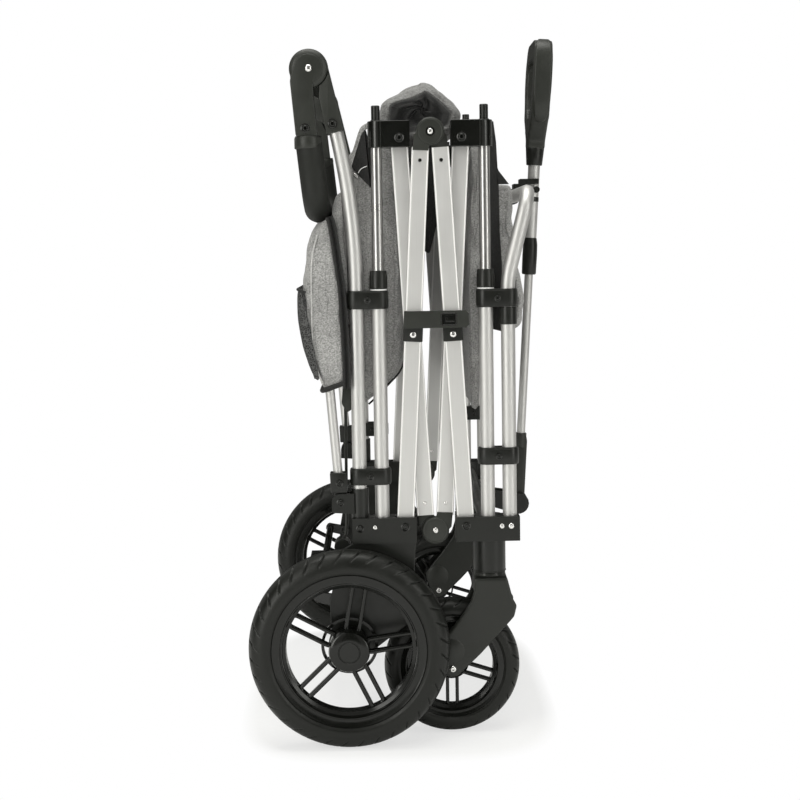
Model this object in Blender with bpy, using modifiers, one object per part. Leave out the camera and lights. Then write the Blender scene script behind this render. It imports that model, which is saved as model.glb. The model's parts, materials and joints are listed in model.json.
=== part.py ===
"""Folding stroller wagon, folded and standing on its wheels. +X is forward, +Y is its left side."""

import math

import bmesh
import bpy
from mathutils import Matrix, Vector

# Driving dimensions, in metres
AXLE_X = -0.0900
REAR_WHEEL_R = 0.1415
REAR_TYRE_W = 0.048
REAR_TYRE_SEAT_R = 0.1065
REAR_WHEEL_Y = 0.312
CASTER_WHEEL_R = 0.0980
CASTER_TYRE_W = 0.040
CASTER_SEAT_R = 0.0725
CASTER_Y = 0.2455
CASTER_TRAIL = 0.056
SIDE_Y = 0.272
TUBE_R = 0.010
TUBE_WALL = 0.0012
INNER_TUBE_R = 0.0078
BASKET_TUBE_R = 0.0066
POST_SETBACK = 0.032
FOOT_PIVOT_Z = 0.308
BAR_HALF = 0.272
HINGE_RUN = 0.281
HINGE_OFFSET = 0.0125
REST_TILT = math.radians(3.16)
BAR_WIDTH = 0.024
BAR_THICK = 0.009
LAYER_GAP = 0.002
HINGE_DISC_R = 0.0195
PIN_R = 0.004
TOUCH_GAP = 0.0003
PIN_GAP = 0.0005
PUSH_HINGE_R = 0.027
PUSH_GRIP_R = 0.0185
PULL_TILT = math.radians(3.3)
PULL_TUBE_R = 0.0092
PULL_INNER_R = 0.0066
GRIP_THICK = 0.028

# Places along the length, which follow from the driving dimensions
REAR_POST_X = AXLE_X + 0.050
PUSH_TUBE_X = REAR_POST_X - 0.0315
REAR_PIVOT_X = REAR_POST_X + POST_SETBACK
SPREAD = (BAR_HALF + HINGE_RUN) * math.sin(REST_TILT) + HINGE_OFFSET * math.cos(REST_TILT)
CENTRE_X = REAR_PIVOT_X + SPREAD
FRONT_PIVOT_X = CENTRE_X + SPREAD
FRONT_POST_X = FRONT_PIVOT_X + POST_SETBACK
HOOP_X = FRONT_POST_X + 0.031
CASTER_X = FRONT_POST_X + 0.003
CASTER_AXLE_X = CASTER_X - CASTER_TRAIL
PUSH_HINGE_X = AXLE_X - 0.0406
LUG_X = AXLE_X - 0.0089
PULL_PIVOT_X = AXLE_X + 0.267

# Heights
TOP_PIVOT_Z = FOOT_PIVOT_Z + 2 * BAR_HALF * math.cos(REST_TILT)
PUSH_HINGE_Z = 0.947
LUG_Z = 0.344
PULL_PIVOT_Z = 0.291
FOOT_LOW = 0.2855
FOOT_TOP = 0.3215
BRACKET_LOW = TOP_PIVOT_Z - 0.013
BRACKET_TOP = TOP_PIVOT_Z + 0.0235
UPPER_CLAMP_Z = (0.6160, 0.6415)
REAR_LOWER_CLAMP_Z = (0.3680, 0.3915)
FRONT_LOWER_CLAMP_Z = (0.3940, 0.4180)
COLLAR_Z = (0.6435, 0.6690)
HOOP_BEND_Z = 0.655
HOOP_TOP_Z = 0.776

# Distances from the middle plane, as low and high limits
OUTER_LAYER = (0.274, 0.274 + BAR_THICK)
INNER_LAYER = (0.274 - LAYER_GAP - BAR_THICK, 0.274 - LAYER_GAP)
BRACKET_Y = (0.257, 0.289)
LEAF_Y = (0.258, 0.286)
HALF_Y = SIDE_Y
LEG_PLATE_Y = (0.270, 0.282)

# Small pieces
SLOT_GAP = 0.0007
STUB_R = 0.0060
STUB_RISE = 0.0215
INNER_OVERLAP = 0.115
BUTTON_R = 0.0048
BUTTON_Y = 0.2800
BUTTON_SHIFT = 0.0065
BUTTON_TRAVEL = 0.003
BUTTON_LOW = BRACKET_TOP - 0.0060
BUTTON_TOP = BRACKET_TOP + 0.0070
PUSH_LEAN = math.radians(13.0)
PUSH_BEND_Z = 0.650
PUSH_ARM_LOW = 0.8553
PEDAL_X = AXLE_X - 0.0180
PEDAL_Z = 0.1990
PEDAL_ARM_Y = (0.2610, 0.2680)
CABLE_BOSS_X = AXLE_X - 0.0080
CABLE_BOSS_Z = 0.2790
CABLE_BOSS_R = 0.0115

SIDES = (("right", -1), ("left", 1))


# Scene, collections and materials
for old in list(bpy.data.objects):
    bpy.data.objects.remove(old, do_unlink=True)

parts = bpy.data.collections.new("folding_wagon")
helpers = bpy.data.collections.new("cutters")
for group in (parts, helpers):
    bpy.context.scene.collection.children.link(group)


def material(name, colour, roughness, metallic=0.0):
    made = bpy.data.materials.new(name)
    made.use_nodes = True
    shader = made.node_tree.nodes["Principled BSDF"]
    shader.inputs["Base Color"].default_value = (*colour, 1.0)
    shader.inputs["Roughness"].default_value = roughness
    shader.inputs["Metallic"].default_value = metallic
    return made


ALUMINIUM = ("aluminium", (0.74, 0.75, 0.74), 0.32, 1.0)
BLACK_PLASTIC = ("black_plastic", (0.025, 0.027, 0.026), 0.42)
GLOSS_PLASTIC = ("gloss_plastic", (0.012, 0.013, 0.012), 0.25)
RUBBER = ("tyre_rubber", (0.035, 0.037, 0.036), 0.7)
FOAM = ("grip_foam", (0.03, 0.03, 0.03), 0.8)
CLOTH = ("grey_cloth", (0.30, 0.31, 0.31), 0.95)


# Helper shapes
def helper(mesh, matrix=Matrix.Identity(4)):
    """A shape that waits in the cutters' collection until a part takes it."""
    shape = bpy.data.objects.new("shape", mesh)
    shape.matrix_world = matrix
    shape.hide_render = True
    shape.display_type = "WIRE"
    helpers.objects.link(shape)
    return shape


def from_bmesh(bm, matrix=Matrix.Identity(4)):
    mesh = bpy.data.meshes.new("shape")
    bm.to_mesh(mesh)
    bm.free()
    return helper(mesh, matrix)


def box(x, y, z):
    """A box between the low and high limits on each axis."""
    size = [max(limits) - min(limits) for limits in (x, y, z)]
    centre = [(max(limits) + min(limits)) / 2 for limits in (x, y, z)]
    bm = bmesh.new()
    bmesh.ops.create_cube(bm, size=1.0, matrix=Matrix.Translation(centre) @ Matrix.Diagonal((*size, 1.0)))
    return from_bmesh(bm)


def rod(start, end, radius, sides=16, end_radius=None):
    """A cylinder, or a cone where end_radius differs, from one point to another."""
    start, end = Vector(start), Vector(end)
    run = end - start
    bm = bmesh.new()
    bmesh.ops.create_cone(
        bm,
        cap_ends=True,
        segments=sides,
        radius1=radius,
        radius2=radius if end_radius is None else end_radius,
        depth=run.length,
    )
    turn = run.to_track_quat("Z", "Y").to_matrix().to_4x4()
    return from_bmesh(bm, Matrix.Translation((start + end) / 2) @ turn)


def curve_to_mesh(curve, matrix):
    """The curve's solid as a mesh with its caps welded, so that it takes Booleans."""
    source = bpy.data.objects.new("curve", curve)
    source.matrix_world = matrix
    helpers.objects.link(source)
    graph = bpy.context.evaluated_depsgraph_get()
    mesh = bpy.data.meshes.new_from_object(source.evaluated_get(graph))
    bm = bmesh.new()
    bm.from_mesh(mesh)
    bmesh.ops.remove_doubles(bm, verts=bm.verts, dist=0.00002)
    bmesh.ops.recalc_face_normals(bm, faces=bm.faces)
    bmesh.ops.dissolve_limit(bm, angle_limit=0.001, verts=bm.verts, edges=bm.edges)
    bm.to_mesh(mesh)
    bm.free()
    shape = helper(mesh, matrix)
    bpy.data.objects.remove(source, do_unlink=True)
    return shape


def slab(outlines, thickness, matrix):
    """A flat outline, with any further outlines as holes, thickened about its own plane."""
    curve = bpy.data.curves.new("outline", "CURVE")
    curve.dimensions = "2D"
    curve.fill_mode = "BOTH"
    curve.extrude = thickness / 2
    for outline in outlines:
        spline = curve.splines.new("POLY")
        spline.points.add(len(outline) - 1)
        for point, (a, b) in zip(spline.points, outline):
            point.co = (a, b, 0.0, 1.0)
        spline.use_cyclic_u = True
    return curve_to_mesh(curve, matrix)


def side_plate(outline, y, holes=()):
    """A slab whose outline is in X and Z, between two distances along Y."""
    stand = Matrix.Translation((0.0, (y[0] + y[1]) / 2, 0.0)) @ Matrix.Rotation(math.pi / 2, 4, "X")
    return slab([outline, *holes], abs(y[1] - y[0]), stand)


def tube(points, radius, resolution=3):
    """A solid round bar along a polyline."""
    curve = bpy.data.curves.new("tube", "CURVE")
    curve.dimensions = "3D"
    curve.bevel_depth = radius
    curve.bevel_resolution = resolution
    curve.use_fill_caps = True
    spline = curve.splines.new("POLY")
    spline.points.add(len(points) - 1)
    for point, place in zip(spline.points, points):
        point.co = (*place, 1.0)
    return curve_to_mesh(curve, Matrix.Identity(4))


def turned(profile, steps, centre, axis="Y"):
    """A closed profile of radius and height pairs, turned about the Y or Z line through centre."""
    bm = bmesh.new()
    corners = [bm.verts.new((radius, 0.0, height)) for radius, height in profile]
    for first, second in zip(corners, corners[1:] + corners[:1]):
        bm.edges.new((first, second))
    lie = Matrix.Rotation(-math.pi / 2, 4, "X") if axis == "Y" else Matrix.Identity(4)
    shape = from_bmesh(bm, Matrix.Translation(centre) @ lie)
    screw = shape.modifiers.new("turn", "SCREW")
    screw.steps = steps
    screw.render_steps = steps
    screw.use_merge_vertices = True
    screw.merge_threshold = 0.00001
    return shape


def arc(centre, radius, start, end, count):
    """Points on an arc between two angles in degrees, both ends included."""
    angles = [math.radians(start + (end - start) * i / (count - 1)) for i in range(count)]
    return [(centre[0] + radius * math.cos(a), centre[1] + radius * math.sin(a)) for a in angles]


def rounded_path(corners, radii, count=5):
    """A polyline through the corners, each inner corner replaced by an arc of its radius."""
    places = [Vector(corner) for corner in corners]
    path = [places[0]]
    for before, corner, after, radius in zip(places, places[1:], places[2:], radii):
        back = (before - corner).normalized()
        on = (after - corner).normalized()
        half = back.angle(on) / 2
        middle = corner + (back + on).normalized() * radius / math.sin(half)
        start = corner + back * radius / math.tan(half)
        end = corner + on * radius / math.tan(half)
        turn = (start - middle).rotation_difference(end - middle)
        for i in range(count + 1):
            step = turn.copy()
            step.identity()
            path.append(middle + step.slerp(turn, i / count) @ (start - middle))
    path.append(places[-1])
    return path


# Bodies: an empty on each joint's axis, with its parts and child bodies under it
bodies = {}


def body(name, place, parent=None):
    empty = bpy.data.objects.new(f"axis_{name}", None)
    empty.empty_display_size = 0.02
    parts.objects.link(empty)
    empty.matrix_world = Matrix.Translation(place)
    if parent is not None:
        empty.parent = bodies[parent]
        empty.matrix_parent_inverse = bodies[parent].matrix_world.inverted()
    bodies[name] = empty
    bpy.context.view_layer.update()


def part(name, body_name, finish, shapes, cuts=(), pins=()):
    """Makes one node: the first shape joined with the others, less the cuts, and then the pins."""
    node = shapes[0]
    node.name = name
    node.data.name = name
    helpers.objects.unlink(node)
    parts.objects.link(node)
    node.hide_render = False
    node.display_type = "TEXTURED"
    node.data.materials.clear()
    node.data.materials.append(bpy.data.materials.get(finish[0]) or material(*finish))
    for operation, others in (("UNION", shapes[1:]), ("DIFFERENCE", cuts), ("UNION", pins)):
        for other in others:
            step = node.modifiers.new(operation.lower(), "BOOLEAN")
            step.operation = operation
            step.object = other
    world = node.matrix_world.copy()
    node.parent = bodies[body_name]
    node.matrix_parent_inverse = bodies[body_name].matrix_world.inverted()
    node.matrix_world = world
    return node


def across(sign, limits):
    """Limits along Y on one side, from distances to the middle plane."""
    return tuple(sorted((sign * limits[0], sign * limits[1])))


def pin(x, z, sign, limits, radius=PIN_R, sides=12):
    """A pin or a hole along Y."""
    low, high = across(sign, limits)
    return rod((x, low, z), (x, high, z), radius, sides)


# Scissor bars
def bar_frame(sign_x, sign_z, pivot):
    """Returns a function from lengths along and across a bar to X and Z in its rest pose."""
    sine, cosine = math.sin(REST_TILT), math.cos(REST_TILT)

    def place(along, aside):
        return (
            pivot[0] + sign_x * (along * sine + aside * cosine),
            pivot[1] + sign_z * (along * cosine - aside * sine),
        )

    return place


def bar_outline(place):
    """The bar's own outline: straight sides, a round end at the pivot."""
    half = BAR_WIDTH / 2
    end = BAR_HALF + HINGE_RUN - 0.026
    around = arc((0.0, 0.0), half, 270, 90, 7)
    outline = [(end, -half)] + [(along, aside) for along, aside in around] + [(end, half)]
    return [place(along, aside) for along, aside in outline]


def leaf_outline(place):
    """The moulded hinge leaf in the bar's far end, with its disc off the bar's line."""
    half = BAR_WIDTH / 2
    root = BAR_HALF + HINGE_RUN - 0.034
    hinge = (BAR_HALF + HINGE_RUN, HINGE_OFFSET)
    disc = arc(hinge, HINGE_DISC_R, -140, 150, 12)
    start = [(root + 0.0120, half + 0.0004), (root, half + 0.0004), (root, -half - 0.0004), (hinge[0] - 0.018, -half - 0.0004)]
    return [place(along, aside) for along, aside in start + disc]


def scissor_bar(name, body_name, sign, ends, layer, disc_outside, extras=(), holes=()):
    """One bar with its hinge leaf, whose disc fills half of the bar's thickness."""
    sign_x, sign_z, pivot = ends
    place = bar_frame(sign_x, sign_z, pivot)
    middle = (layer[0] + layer[1]) / 2
    disc_y = (middle + TOUCH_GAP, layer[1]) if disc_outside else (layer[0], middle - TOUCH_GAP)
    bar = side_plate(bar_outline(place), across(sign, layer))
    leaf = side_plate(leaf_outline(place), across(sign, disc_y))
    cross = place(BAR_HALF, 0.0)
    hinge = place(BAR_HALF + HINGE_RUN, HINGE_OFFSET)
    wide = (layer[0] - 0.002, layer[1] + 0.002)
    shapes = [bar, leaf] + [make(place) for make in extras]
    cuts = [pin(*pivot, sign, wide, PIN_R + PIN_GAP)]
    if "cross" in holes:
        cuts.append(pin(*cross, sign, wide, PIN_R + PIN_GAP))
    else:
        shapes.append(pin(*cross, sign, (INNER_LAYER[0] + 0.001, OUTER_LAYER[0] + 0.003)))
    if "hinge" in holes:
        cuts.append(pin(*hinge, sign, wide, PIN_R + PIN_GAP))
    else:
        shapes.append(pin(*hinge, sign, (layer[0] + 0.0005, layer[1] - 0.0005)))
    part(name, body_name, ALUMINIUM, shapes, cuts)


def latch_mount(place):
    """The clamp on the rear bar that carries the latch arm."""
    outline = [place(along, aside) for along, aside in ((0.262, -0.0135), (0.262, 0.0135), (0.3045, 0.0135), (0.3045, -0.0135))]
    return side_plate(outline, across(-1, (OUTER_LAYER[1] - 0.003, OUTER_LAYER[1] + 0.003)))


def scissors(side, sign):
    rear_foot = (REAR_PIVOT_X, FOOT_PIVOT_Z)
    rear_top = (REAR_PIVOT_X, TOP_PIVOT_Z)
    front_foot = (FRONT_PIVOT_X, FOOT_PIVOT_Z)
    front_top = (FRONT_PIVOT_X, TOP_PIVOT_Z)
    mount = (latch_mount,) if side == "right" else ()
    scissor_bar(f"rear_foot_bar_{side}", f"rear_foot_bar_{side}", sign, (1, 1, rear_foot), OUTER_LAYER, True, mount)
    scissor_bar(f"rear_top_bar_{side}", f"rear_top_bar_{side}", sign, (1, -1, rear_top), INNER_LAYER, False, (), ("cross",))
    scissor_bar(f"front_foot_bar_{side}", f"front_foot_bar_{side}", sign, (-1, 1, front_foot), OUTER_LAYER, False, mount, ("hinge",))
    scissor_bar(f"front_top_bar_{side}", f"front_top_bar_{side}", sign, (-1, -1, front_top), INNER_LAYER, True, (), ("cross", "hinge"))


def latch_arm():
    """The strap that holds the folded bars together, with the window for the catch."""
    place = bar_frame(1, 1, (REAR_PIVOT_X, FOOT_PIVOT_Z))
    low, high = 0.2805, 0.3045
    start = place(low, -0.0125)[0]
    foot, top = FOOT_PIVOT_Z + low, FOOT_PIVOT_Z + high
    reach = start + 0.0900
    outline = [(start, foot), (reach - 0.004, foot), (reach, foot + 0.004), (reach, top - 0.004), (reach - 0.004, top), (start, top)]
    window = [(reach - 0.037, foot + 0.005), (reach - 0.019, foot + 0.005), (reach - 0.019, top - 0.005), (reach - 0.037, top - 0.005)]
    y = across(-1, (OUTER_LAYER[1] + 0.0036, OUTER_LAYER[1] + 0.0085))
    part("latch_arm", "latch_arm", BLACK_PLASTIC, [side_plate(outline, y, [window])])


# Posts, feet, brackets and clamps
def post(name, body_name, x, sign):
    """A straight hollow post, open at the top for the sliding tube."""
    y = sign * SIDE_Y
    low, high = FOOT_LOW + 0.012, COLLAR_Z[0] + 0.010
    outer = rod((x, y, low), (x, y, high), TUBE_R)
    bore = rod((x, y, low - 0.01), (x, y, high + 0.01), TUBE_R - TUBE_WALL)
    part(name, body_name, ALUMINIUM, [outer], [bore])


def clamp(name, body_name, xs, z, sign, collar=None):
    """A moulded clamp around two upright tubes, with the post's end collar where there is one."""
    y = sign * SIDE_Y
    outer = 0.0130
    low, high = min(xs), max(xs)
    ring = arc((high, 0.0), outer, -90, 90, 9) + arc((low, 0.0), outer, 90, 270, 9)
    bores = [arc((x, 0.0), TUBE_R + TOUCH_GAP, 0, 337.5, 16) for x in xs]
    shapes = [slab([ring, *bores], z[1] - z[0], Matrix.Translation((0.0, y, (z[0] + z[1]) / 2)))]
    if collar is not None:
        web_y = across(sign, (SIDE_Y - 0.0127, SIDE_Y - 0.0106))
        web = box((collar - 0.004, collar + 0.004), web_y, (z[1] - 0.004, COLLAR_Z[0] + 0.004))
        inside = INNER_TUBE_R + PIN_GAP
        height = COLLAR_Z[1] - COLLAR_Z[0]
        profile = [(0.0125, height), (0.0125, 0.0), (TUBE_R + TOUCH_GAP, 0.0), (TUBE_R + TOUCH_GAP, 0.0103), (inside, 0.0103), (inside, height)]
        shapes += [turned(profile, 16, (collar, y, COLLAR_Z[0]), "Z"), web]
    part(name, body_name, BLACK_PLASTIC, shapes)


def slider(side, sign, end):
    """The bracket that rides on a post: block with the bar's slot, stub on top and tube going down."""
    rear = end == "rear"
    post_x, pivot_x = (REAR_POST_X, REAR_PIVOT_X) if rear else (FRONT_POST_X, FRONT_PIVOT_X)
    inward = 1 if rear else -1
    back, front = post_x - inward * 0.0115, pivot_x + inward * 0.0145
    y = sign * SIDE_Y
    block = box((back, front), across(sign, BRACKET_Y), (BRACKET_LOW, BRACKET_TOP))
    stub = rod((post_x, y, BRACKET_TOP - 0.002), (post_x, y, BRACKET_TOP + STUB_RISE), STUB_R, 12)
    inner = rod((post_x, y, COLLAR_Z[0] - INNER_OVERLAP), (post_x, y, BRACKET_LOW + 0.010), INNER_TUBE_R)
    slot_y = (INNER_LAYER[0] - SLOT_GAP, INNER_LAYER[1] + SLOT_GAP)
    slot_x = (pivot_x - inward * 0.0145, front + inward * 0.01)
    cuts = [box(slot_x, across(sign, slot_y), (BRACKET_LOW - 0.01, TOP_PIVOT_Z + 0.0140))]
    if not rear:
        x = pivot_x + BUTTON_SHIFT
        cuts.append(rod((x, sign * BUTTON_Y, BUTTON_LOW - BUTTON_TRAVEL - TOUCH_GAP), (x, sign * BUTTON_Y, BRACKET_TOP + 0.01), BUTTON_R + PIN_GAP, 12))
        button = rod((x, sign * BUTTON_Y, BUTTON_LOW), (x, sign * BUTTON_Y, BUTTON_TOP), BUTTON_R, 12)
        part(f"release_button_{side}", f"release_button_{side}", BLACK_PLASTIC, [button])
    bolt = pin(pivot_x, TOP_PIVOT_Z, sign, (BRACKET_Y[0] + 0.001, BRACKET_Y[1] - 0.001))
    part(f"{end}_slider_{side}", f"{end}_slider_{side}", GLOSS_PLASTIC, [block, stub, inner], cuts, [bolt])


def rear_foot(side, sign):
    """The rear foot bracket with the push tube's socket and the basket's lug."""
    y = sign * SIDE_Y
    block = box((AXLE_X + 0.007, AXLE_X + 0.098), across(sign, BRACKET_Y), (FOOT_LOW, FOOT_TOP))
    socket = rod((PUSH_TUBE_X, y, FOOT_TOP - 0.003), (PUSH_TUBE_X, y, 0.3625), 0.0124)
    round_end = arc((LUG_X, LUG_Z), 0.0125, 80, 175, 6)
    lug = round_end + [(LUG_X - 0.0125, LUG_Z - 0.0145), (PUSH_TUBE_X - 0.008, LUG_Z - 0.0165), (PUSH_TUBE_X - 0.008, LUG_Z + 0.0123)]
    ears = [side_plate(lug, across(sign, limits)) for limits in ((0.2600, 0.2657), (0.2783, 0.2840))]
    slot_y = (OUTER_LAYER[0] - 0.0007, OUTER_LAYER[1] + 0.0007)
    slot = box((REAR_PIVOT_X - 0.0145, AXLE_X + 0.108), across(sign, slot_y), (FOOT_PIVOT_Z - 0.0145, FOOT_TOP + 0.01))
    post_hole = rod((REAR_POST_X, y, FOOT_LOW + 0.0117), (REAR_POST_X, y, FOOT_TOP + 0.01), TUBE_R + TOUCH_GAP)
    tube_hole = rod((PUSH_TUBE_X, y, FOOT_TOP + 0.004), (PUSH_TUBE_X, y, 0.3725), TUBE_R + TOUCH_GAP)
    bolt = pin(REAR_PIVOT_X, FOOT_PIVOT_Z, sign, (BRACKET_Y[0] + 0.001, BRACKET_Y[1] - 0.001))
    lug_pin = pin(LUG_X, LUG_Z, sign, (0.2605, 0.2835), 0.0030)
    cuts = [slot, post_hole, tube_hole]
    part(f"rear_foot_{side}", "rear_frame", BLACK_PLASTIC, [block, socket, *ears], cuts, [bolt, lug_pin])


def front_foot(side, sign):
    """The front foot bracket with the caster's bearing housing below it."""
    y = sign * SIDE_Y
    block = box((FRONT_PIVOT_X - 0.0145, HOOP_X + 0.013), across(sign, BRACKET_Y), (FOOT_LOW, FOOT_TOP - 0.001))
    bulge = rod((FRONT_POST_X + 0.002, sign * 0.268, FOOT_LOW), (FRONT_POST_X + 0.002, sign * 0.268, FOOT_TOP - 0.001), 0.0215)
    housing = rod((CASTER_X, sign * CASTER_Y, 0.2360), (CASTER_X, sign * CASTER_Y, FOOT_LOW + 0.006), 0.0235)
    slot_y = (OUTER_LAYER[0] - 0.0007, OUTER_LAYER[1] + 0.0007)
    slot = box((FRONT_PIVOT_X + 0.0135, FRONT_PIVOT_X - 0.025), across(sign, slot_y), (FOOT_PIVOT_Z - 0.0145, FOOT_TOP + 0.01))
    cuts = [slot]
    for x in (FRONT_POST_X, HOOP_X):
        cuts.append(rod((x, y, FOOT_LOW + 0.0117), (x, y, FOOT_TOP + 0.01), TUBE_R + TOUCH_GAP))
    bolt = pin(FRONT_PIVOT_X, FOOT_PIVOT_Z, sign, (BRACKET_Y[0] + 0.001, BRACKET_Y[1] - 0.001))
    part(f"front_foot_{side}", "front_frame", BLACK_PLASTIC, [block, bulge, housing], cuts, [bolt])


# Rear axle
def rear_axle():
    """The cross tube with the leg plates under the feet, stub axles, pedal pins and the brake cable's boss."""
    axle = (AXLE_X, REAR_WHEEL_R)
    top = FOOT_LOW - TOUCH_GAP
    outline = arc(axle, 0.030, 150, 300, 7)
    outline += [(AXLE_X + 0.060, 0.150), (AXLE_X + 0.090, 0.172), (AXLE_X + 0.096, top), (AXLE_X + 0.008, top)]
    outline += [(AXLE_X - 0.0135, 0.272), (PEDAL_X - 0.009, PEDAL_Z)]
    reach = LEG_PLATE_Y[0] + 0.004
    shapes = [rod((AXLE_X, -reach, REAR_WHEEL_R), (AXLE_X, reach, REAR_WHEEL_R), 0.0130)]
    for _, sign in SIDES:
        shapes.append(side_plate(outline, across(sign, LEG_PLATE_Y)))
        shapes.append(pin(*axle, sign, (LEG_PLATE_Y[0] + 0.002, 0.3300), 0.0060))
        shapes.append(pin(PEDAL_X, PEDAL_Z, sign, (PEDAL_ARM_Y[0] - 0.0020, LEG_PLATE_Y[0] + 0.002), PIN_R))
    boss = rod((CABLE_BOSS_X, -LEG_PLATE_Y[1] + 0.003, CABLE_BOSS_Z), (CABLE_BOSS_X, -0.2475, CABLE_BOSS_Z), CABLE_BOSS_R)
    part("rear_axle", "rear_frame", BLACK_PLASTIC, shapes + [boss])


def brake_pedal():
    """The foot bar of the parking brake, hung on a pin of each leg plate behind the axle."""
    bar = (PEDAL_X - 0.0250, PEDAL_Z + 0.0060)
    shapes = [rod((bar[0], -PEDAL_ARM_Y[1], bar[1]), (bar[0], PEDAL_ARM_Y[1], bar[1]), 0.0060, 12)]
    shapes.append(box((bar[0] - 0.0240, bar[0]), (-0.050, 0.050), (bar[1] - 0.0030, bar[1] + 0.0030)))
    cuts = []
    for _, sign in SIDES:
        arm = arc((PEDAL_X, PEDAL_Z), 0.0085, -120, 90, 7) + arc(bar, 0.0080, 100, 250, 6)
        shapes.append(side_plate(arm, across(sign, PEDAL_ARM_Y)))
        cuts.append(pin(PEDAL_X, PEDAL_Z, sign, (PEDAL_ARM_Y[0] - 0.003, PEDAL_ARM_Y[1] + 0.001), PIN_R + PIN_GAP))
    part("brake_pedal", "brake_pedal", GLOSS_PLASTIC, shapes, cuts)


def brake_cable():
    """The brake's cable, from the boss on the leg plate up the inside of the push tube."""
    route = [(-0.0040, 0.2525, CABLE_BOSS_Z + 0.0113), (-0.0022, 0.2525, 0.3000), (-0.0012, 0.2525, 0.3200)]
    route += [(-0.0010, 0.2525, 0.3600), (-0.0005, 0.2525, 0.4200), (0.0000, 0.2525, 0.4800), (0.0004, 0.2525, 0.5350)]
    route += [(0.0006, 0.2530, 0.5550), (0.0010, 0.2560, 0.5700), (0.0022, 0.2610, 0.5810), (0.0045, 0.2660, 0.5890), (0.0070, 0.2695, 0.5935)]
    part("brake_cable", "rear_frame", RUBBER, [tube([(AXLE_X + x, -y, z) for x, y, z in route], 0.0022, 2)])


# Push handle
def push_tube(side, sign):
    """A push handle's side tube: straight up, a wide bend back, and the fixed half of the folding hinge."""
    y = sign * SIDE_Y
    centre = (PUSH_HINGE_X, PUSH_HINGE_Z)
    radius = (0.868 - PUSH_BEND_Z) / math.sin(PUSH_LEAN)
    steps = [PUSH_LEAN * i / 6 for i in range(7)]
    bend = [(PUSH_TUBE_X - radius * (1 - math.cos(a)), y, PUSH_BEND_Z + radius * math.sin(a)) for a in steps]
    pipe = tube([(PUSH_TUBE_X, y, FOOT_TOP + 0.005)] + bend, TUBE_R)
    neck = [centre, (AXLE_X - 0.0362, 0.9200), (AXLE_X - 0.0335, 0.9080), (AXLE_X - 0.0210, 0.8565)]
    neck += [(AXLE_X + 0.0065, 0.8625), (AXLE_X - 0.0140, 0.9400)]
    inner_half = (LEAF_Y[0], SIDE_Y - TOUCH_GAP)
    outer_half = (SIDE_Y - TOUCH_GAP, LEAF_Y[1] + 0.003)
    shapes = [side_plate(neck, across(sign, LEAF_Y)), pipe]
    disc = [pin(*centre, sign, inner_half, PUSH_HINGE_R, 20)]
    rivet = [pin(*centre, sign, (LEAF_Y[0] + 0.002, LEAF_Y[1] - 0.001))]
    sweep = [pin(*centre, sign, outer_half, PUSH_HINGE_R + 0.0010, 20)]
    part(f"push_tube_{side}", "rear_frame", ALUMINIUM, shapes, sweep, disc + rivet)


def push_hinge(side, sign):
    """The folding half of a push handle hinge, at the top of the hanging arm."""
    centre = (PUSH_HINGE_X, PUSH_HINGE_Z)
    neck = [centre, (AXLE_X - 0.0665, 0.9430), (AXLE_X - 0.0575, PUSH_ARM_LOW), (AXLE_X - 0.0245, PUSH_ARM_LOW)]
    neck += [(AXLE_X - 0.0370, 0.9080), (AXLE_X - 0.0392, 0.9210)]
    inner_half = (LEAF_Y[0] - 0.003, SIDE_Y + TOUCH_GAP)
    outer_half = (SIDE_Y + TOUCH_GAP, LEAF_Y[1])
    hole = pin(*centre, sign, (SIDE_Y - 0.002, LEAF_Y[1] + 0.003), PIN_R + PIN_GAP)
    sweep = pin(*centre, sign, inner_half, PUSH_HINGE_R + 0.0010, 20)
    shapes = [side_plate(neck, across(sign, LEAF_Y)), pin(*centre, sign, outer_half, PUSH_HINGE_R, 20)]
    part(f"push_hinge_arm_{side}", "push_handle", BLACK_PLASTIC, shapes, [sweep, hole])


def push_grip():
    """The padded cross bar, hanging from both arms."""
    low = 0.7565
    top = PUSH_ARM_LOW - TOUCH_GAP
    corners = [
        (AXLE_X - 0.0410, -SIDE_Y, top),
        (AXLE_X - 0.0410, -SIDE_Y, low),
        (AXLE_X - 0.0410, SIDE_Y, low),
        (AXLE_X - 0.0410, SIDE_Y, top),
    ]
    part("push_grip", "push_handle", FOAM, [tube(rounded_path(corners, (0.035, 0.035), 6), PUSH_GRIP_R)])


# Front hoop and pull handle
def front_hoop():
    """The hoop across the front, with the cradle that holds the pull handle."""
    top_x = HOOP_X + 0.031
    corners = [
        (HOOP_X, -SIDE_Y, FOOT_LOW + 0.0120),
        (HOOP_X, -SIDE_Y, HOOP_BEND_Z),
        (top_x, -SIDE_Y, HOOP_TOP_Z),
        (top_x, SIDE_Y, HOOP_TOP_Z),
        (HOOP_X, SIDE_Y, HOOP_BEND_Z),
        (HOOP_X, SIDE_Y, FOOT_LOW + 0.0120),
    ]
    hoop = tube(rounded_path(corners, (0.14, 0.032, 0.032, 0.14), 5), TUBE_R)
    tube_x = PULL_PIVOT_X + (0.787 - PULL_PIVOT_Z) * math.tan(PULL_TILT)
    cradle = box((top_x + 0.004, tube_x + 0.005), (-0.0158, 0.0158), (0.7790, 0.7960))
    mouth = box((tube_x - 0.0130, tube_x + 0.03), (-0.0124, 0.0124), (0.76, 0.81))
    part("front_hoop", "front_frame", ALUMINIUM, [hoop, cradle], [mouth])


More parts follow.
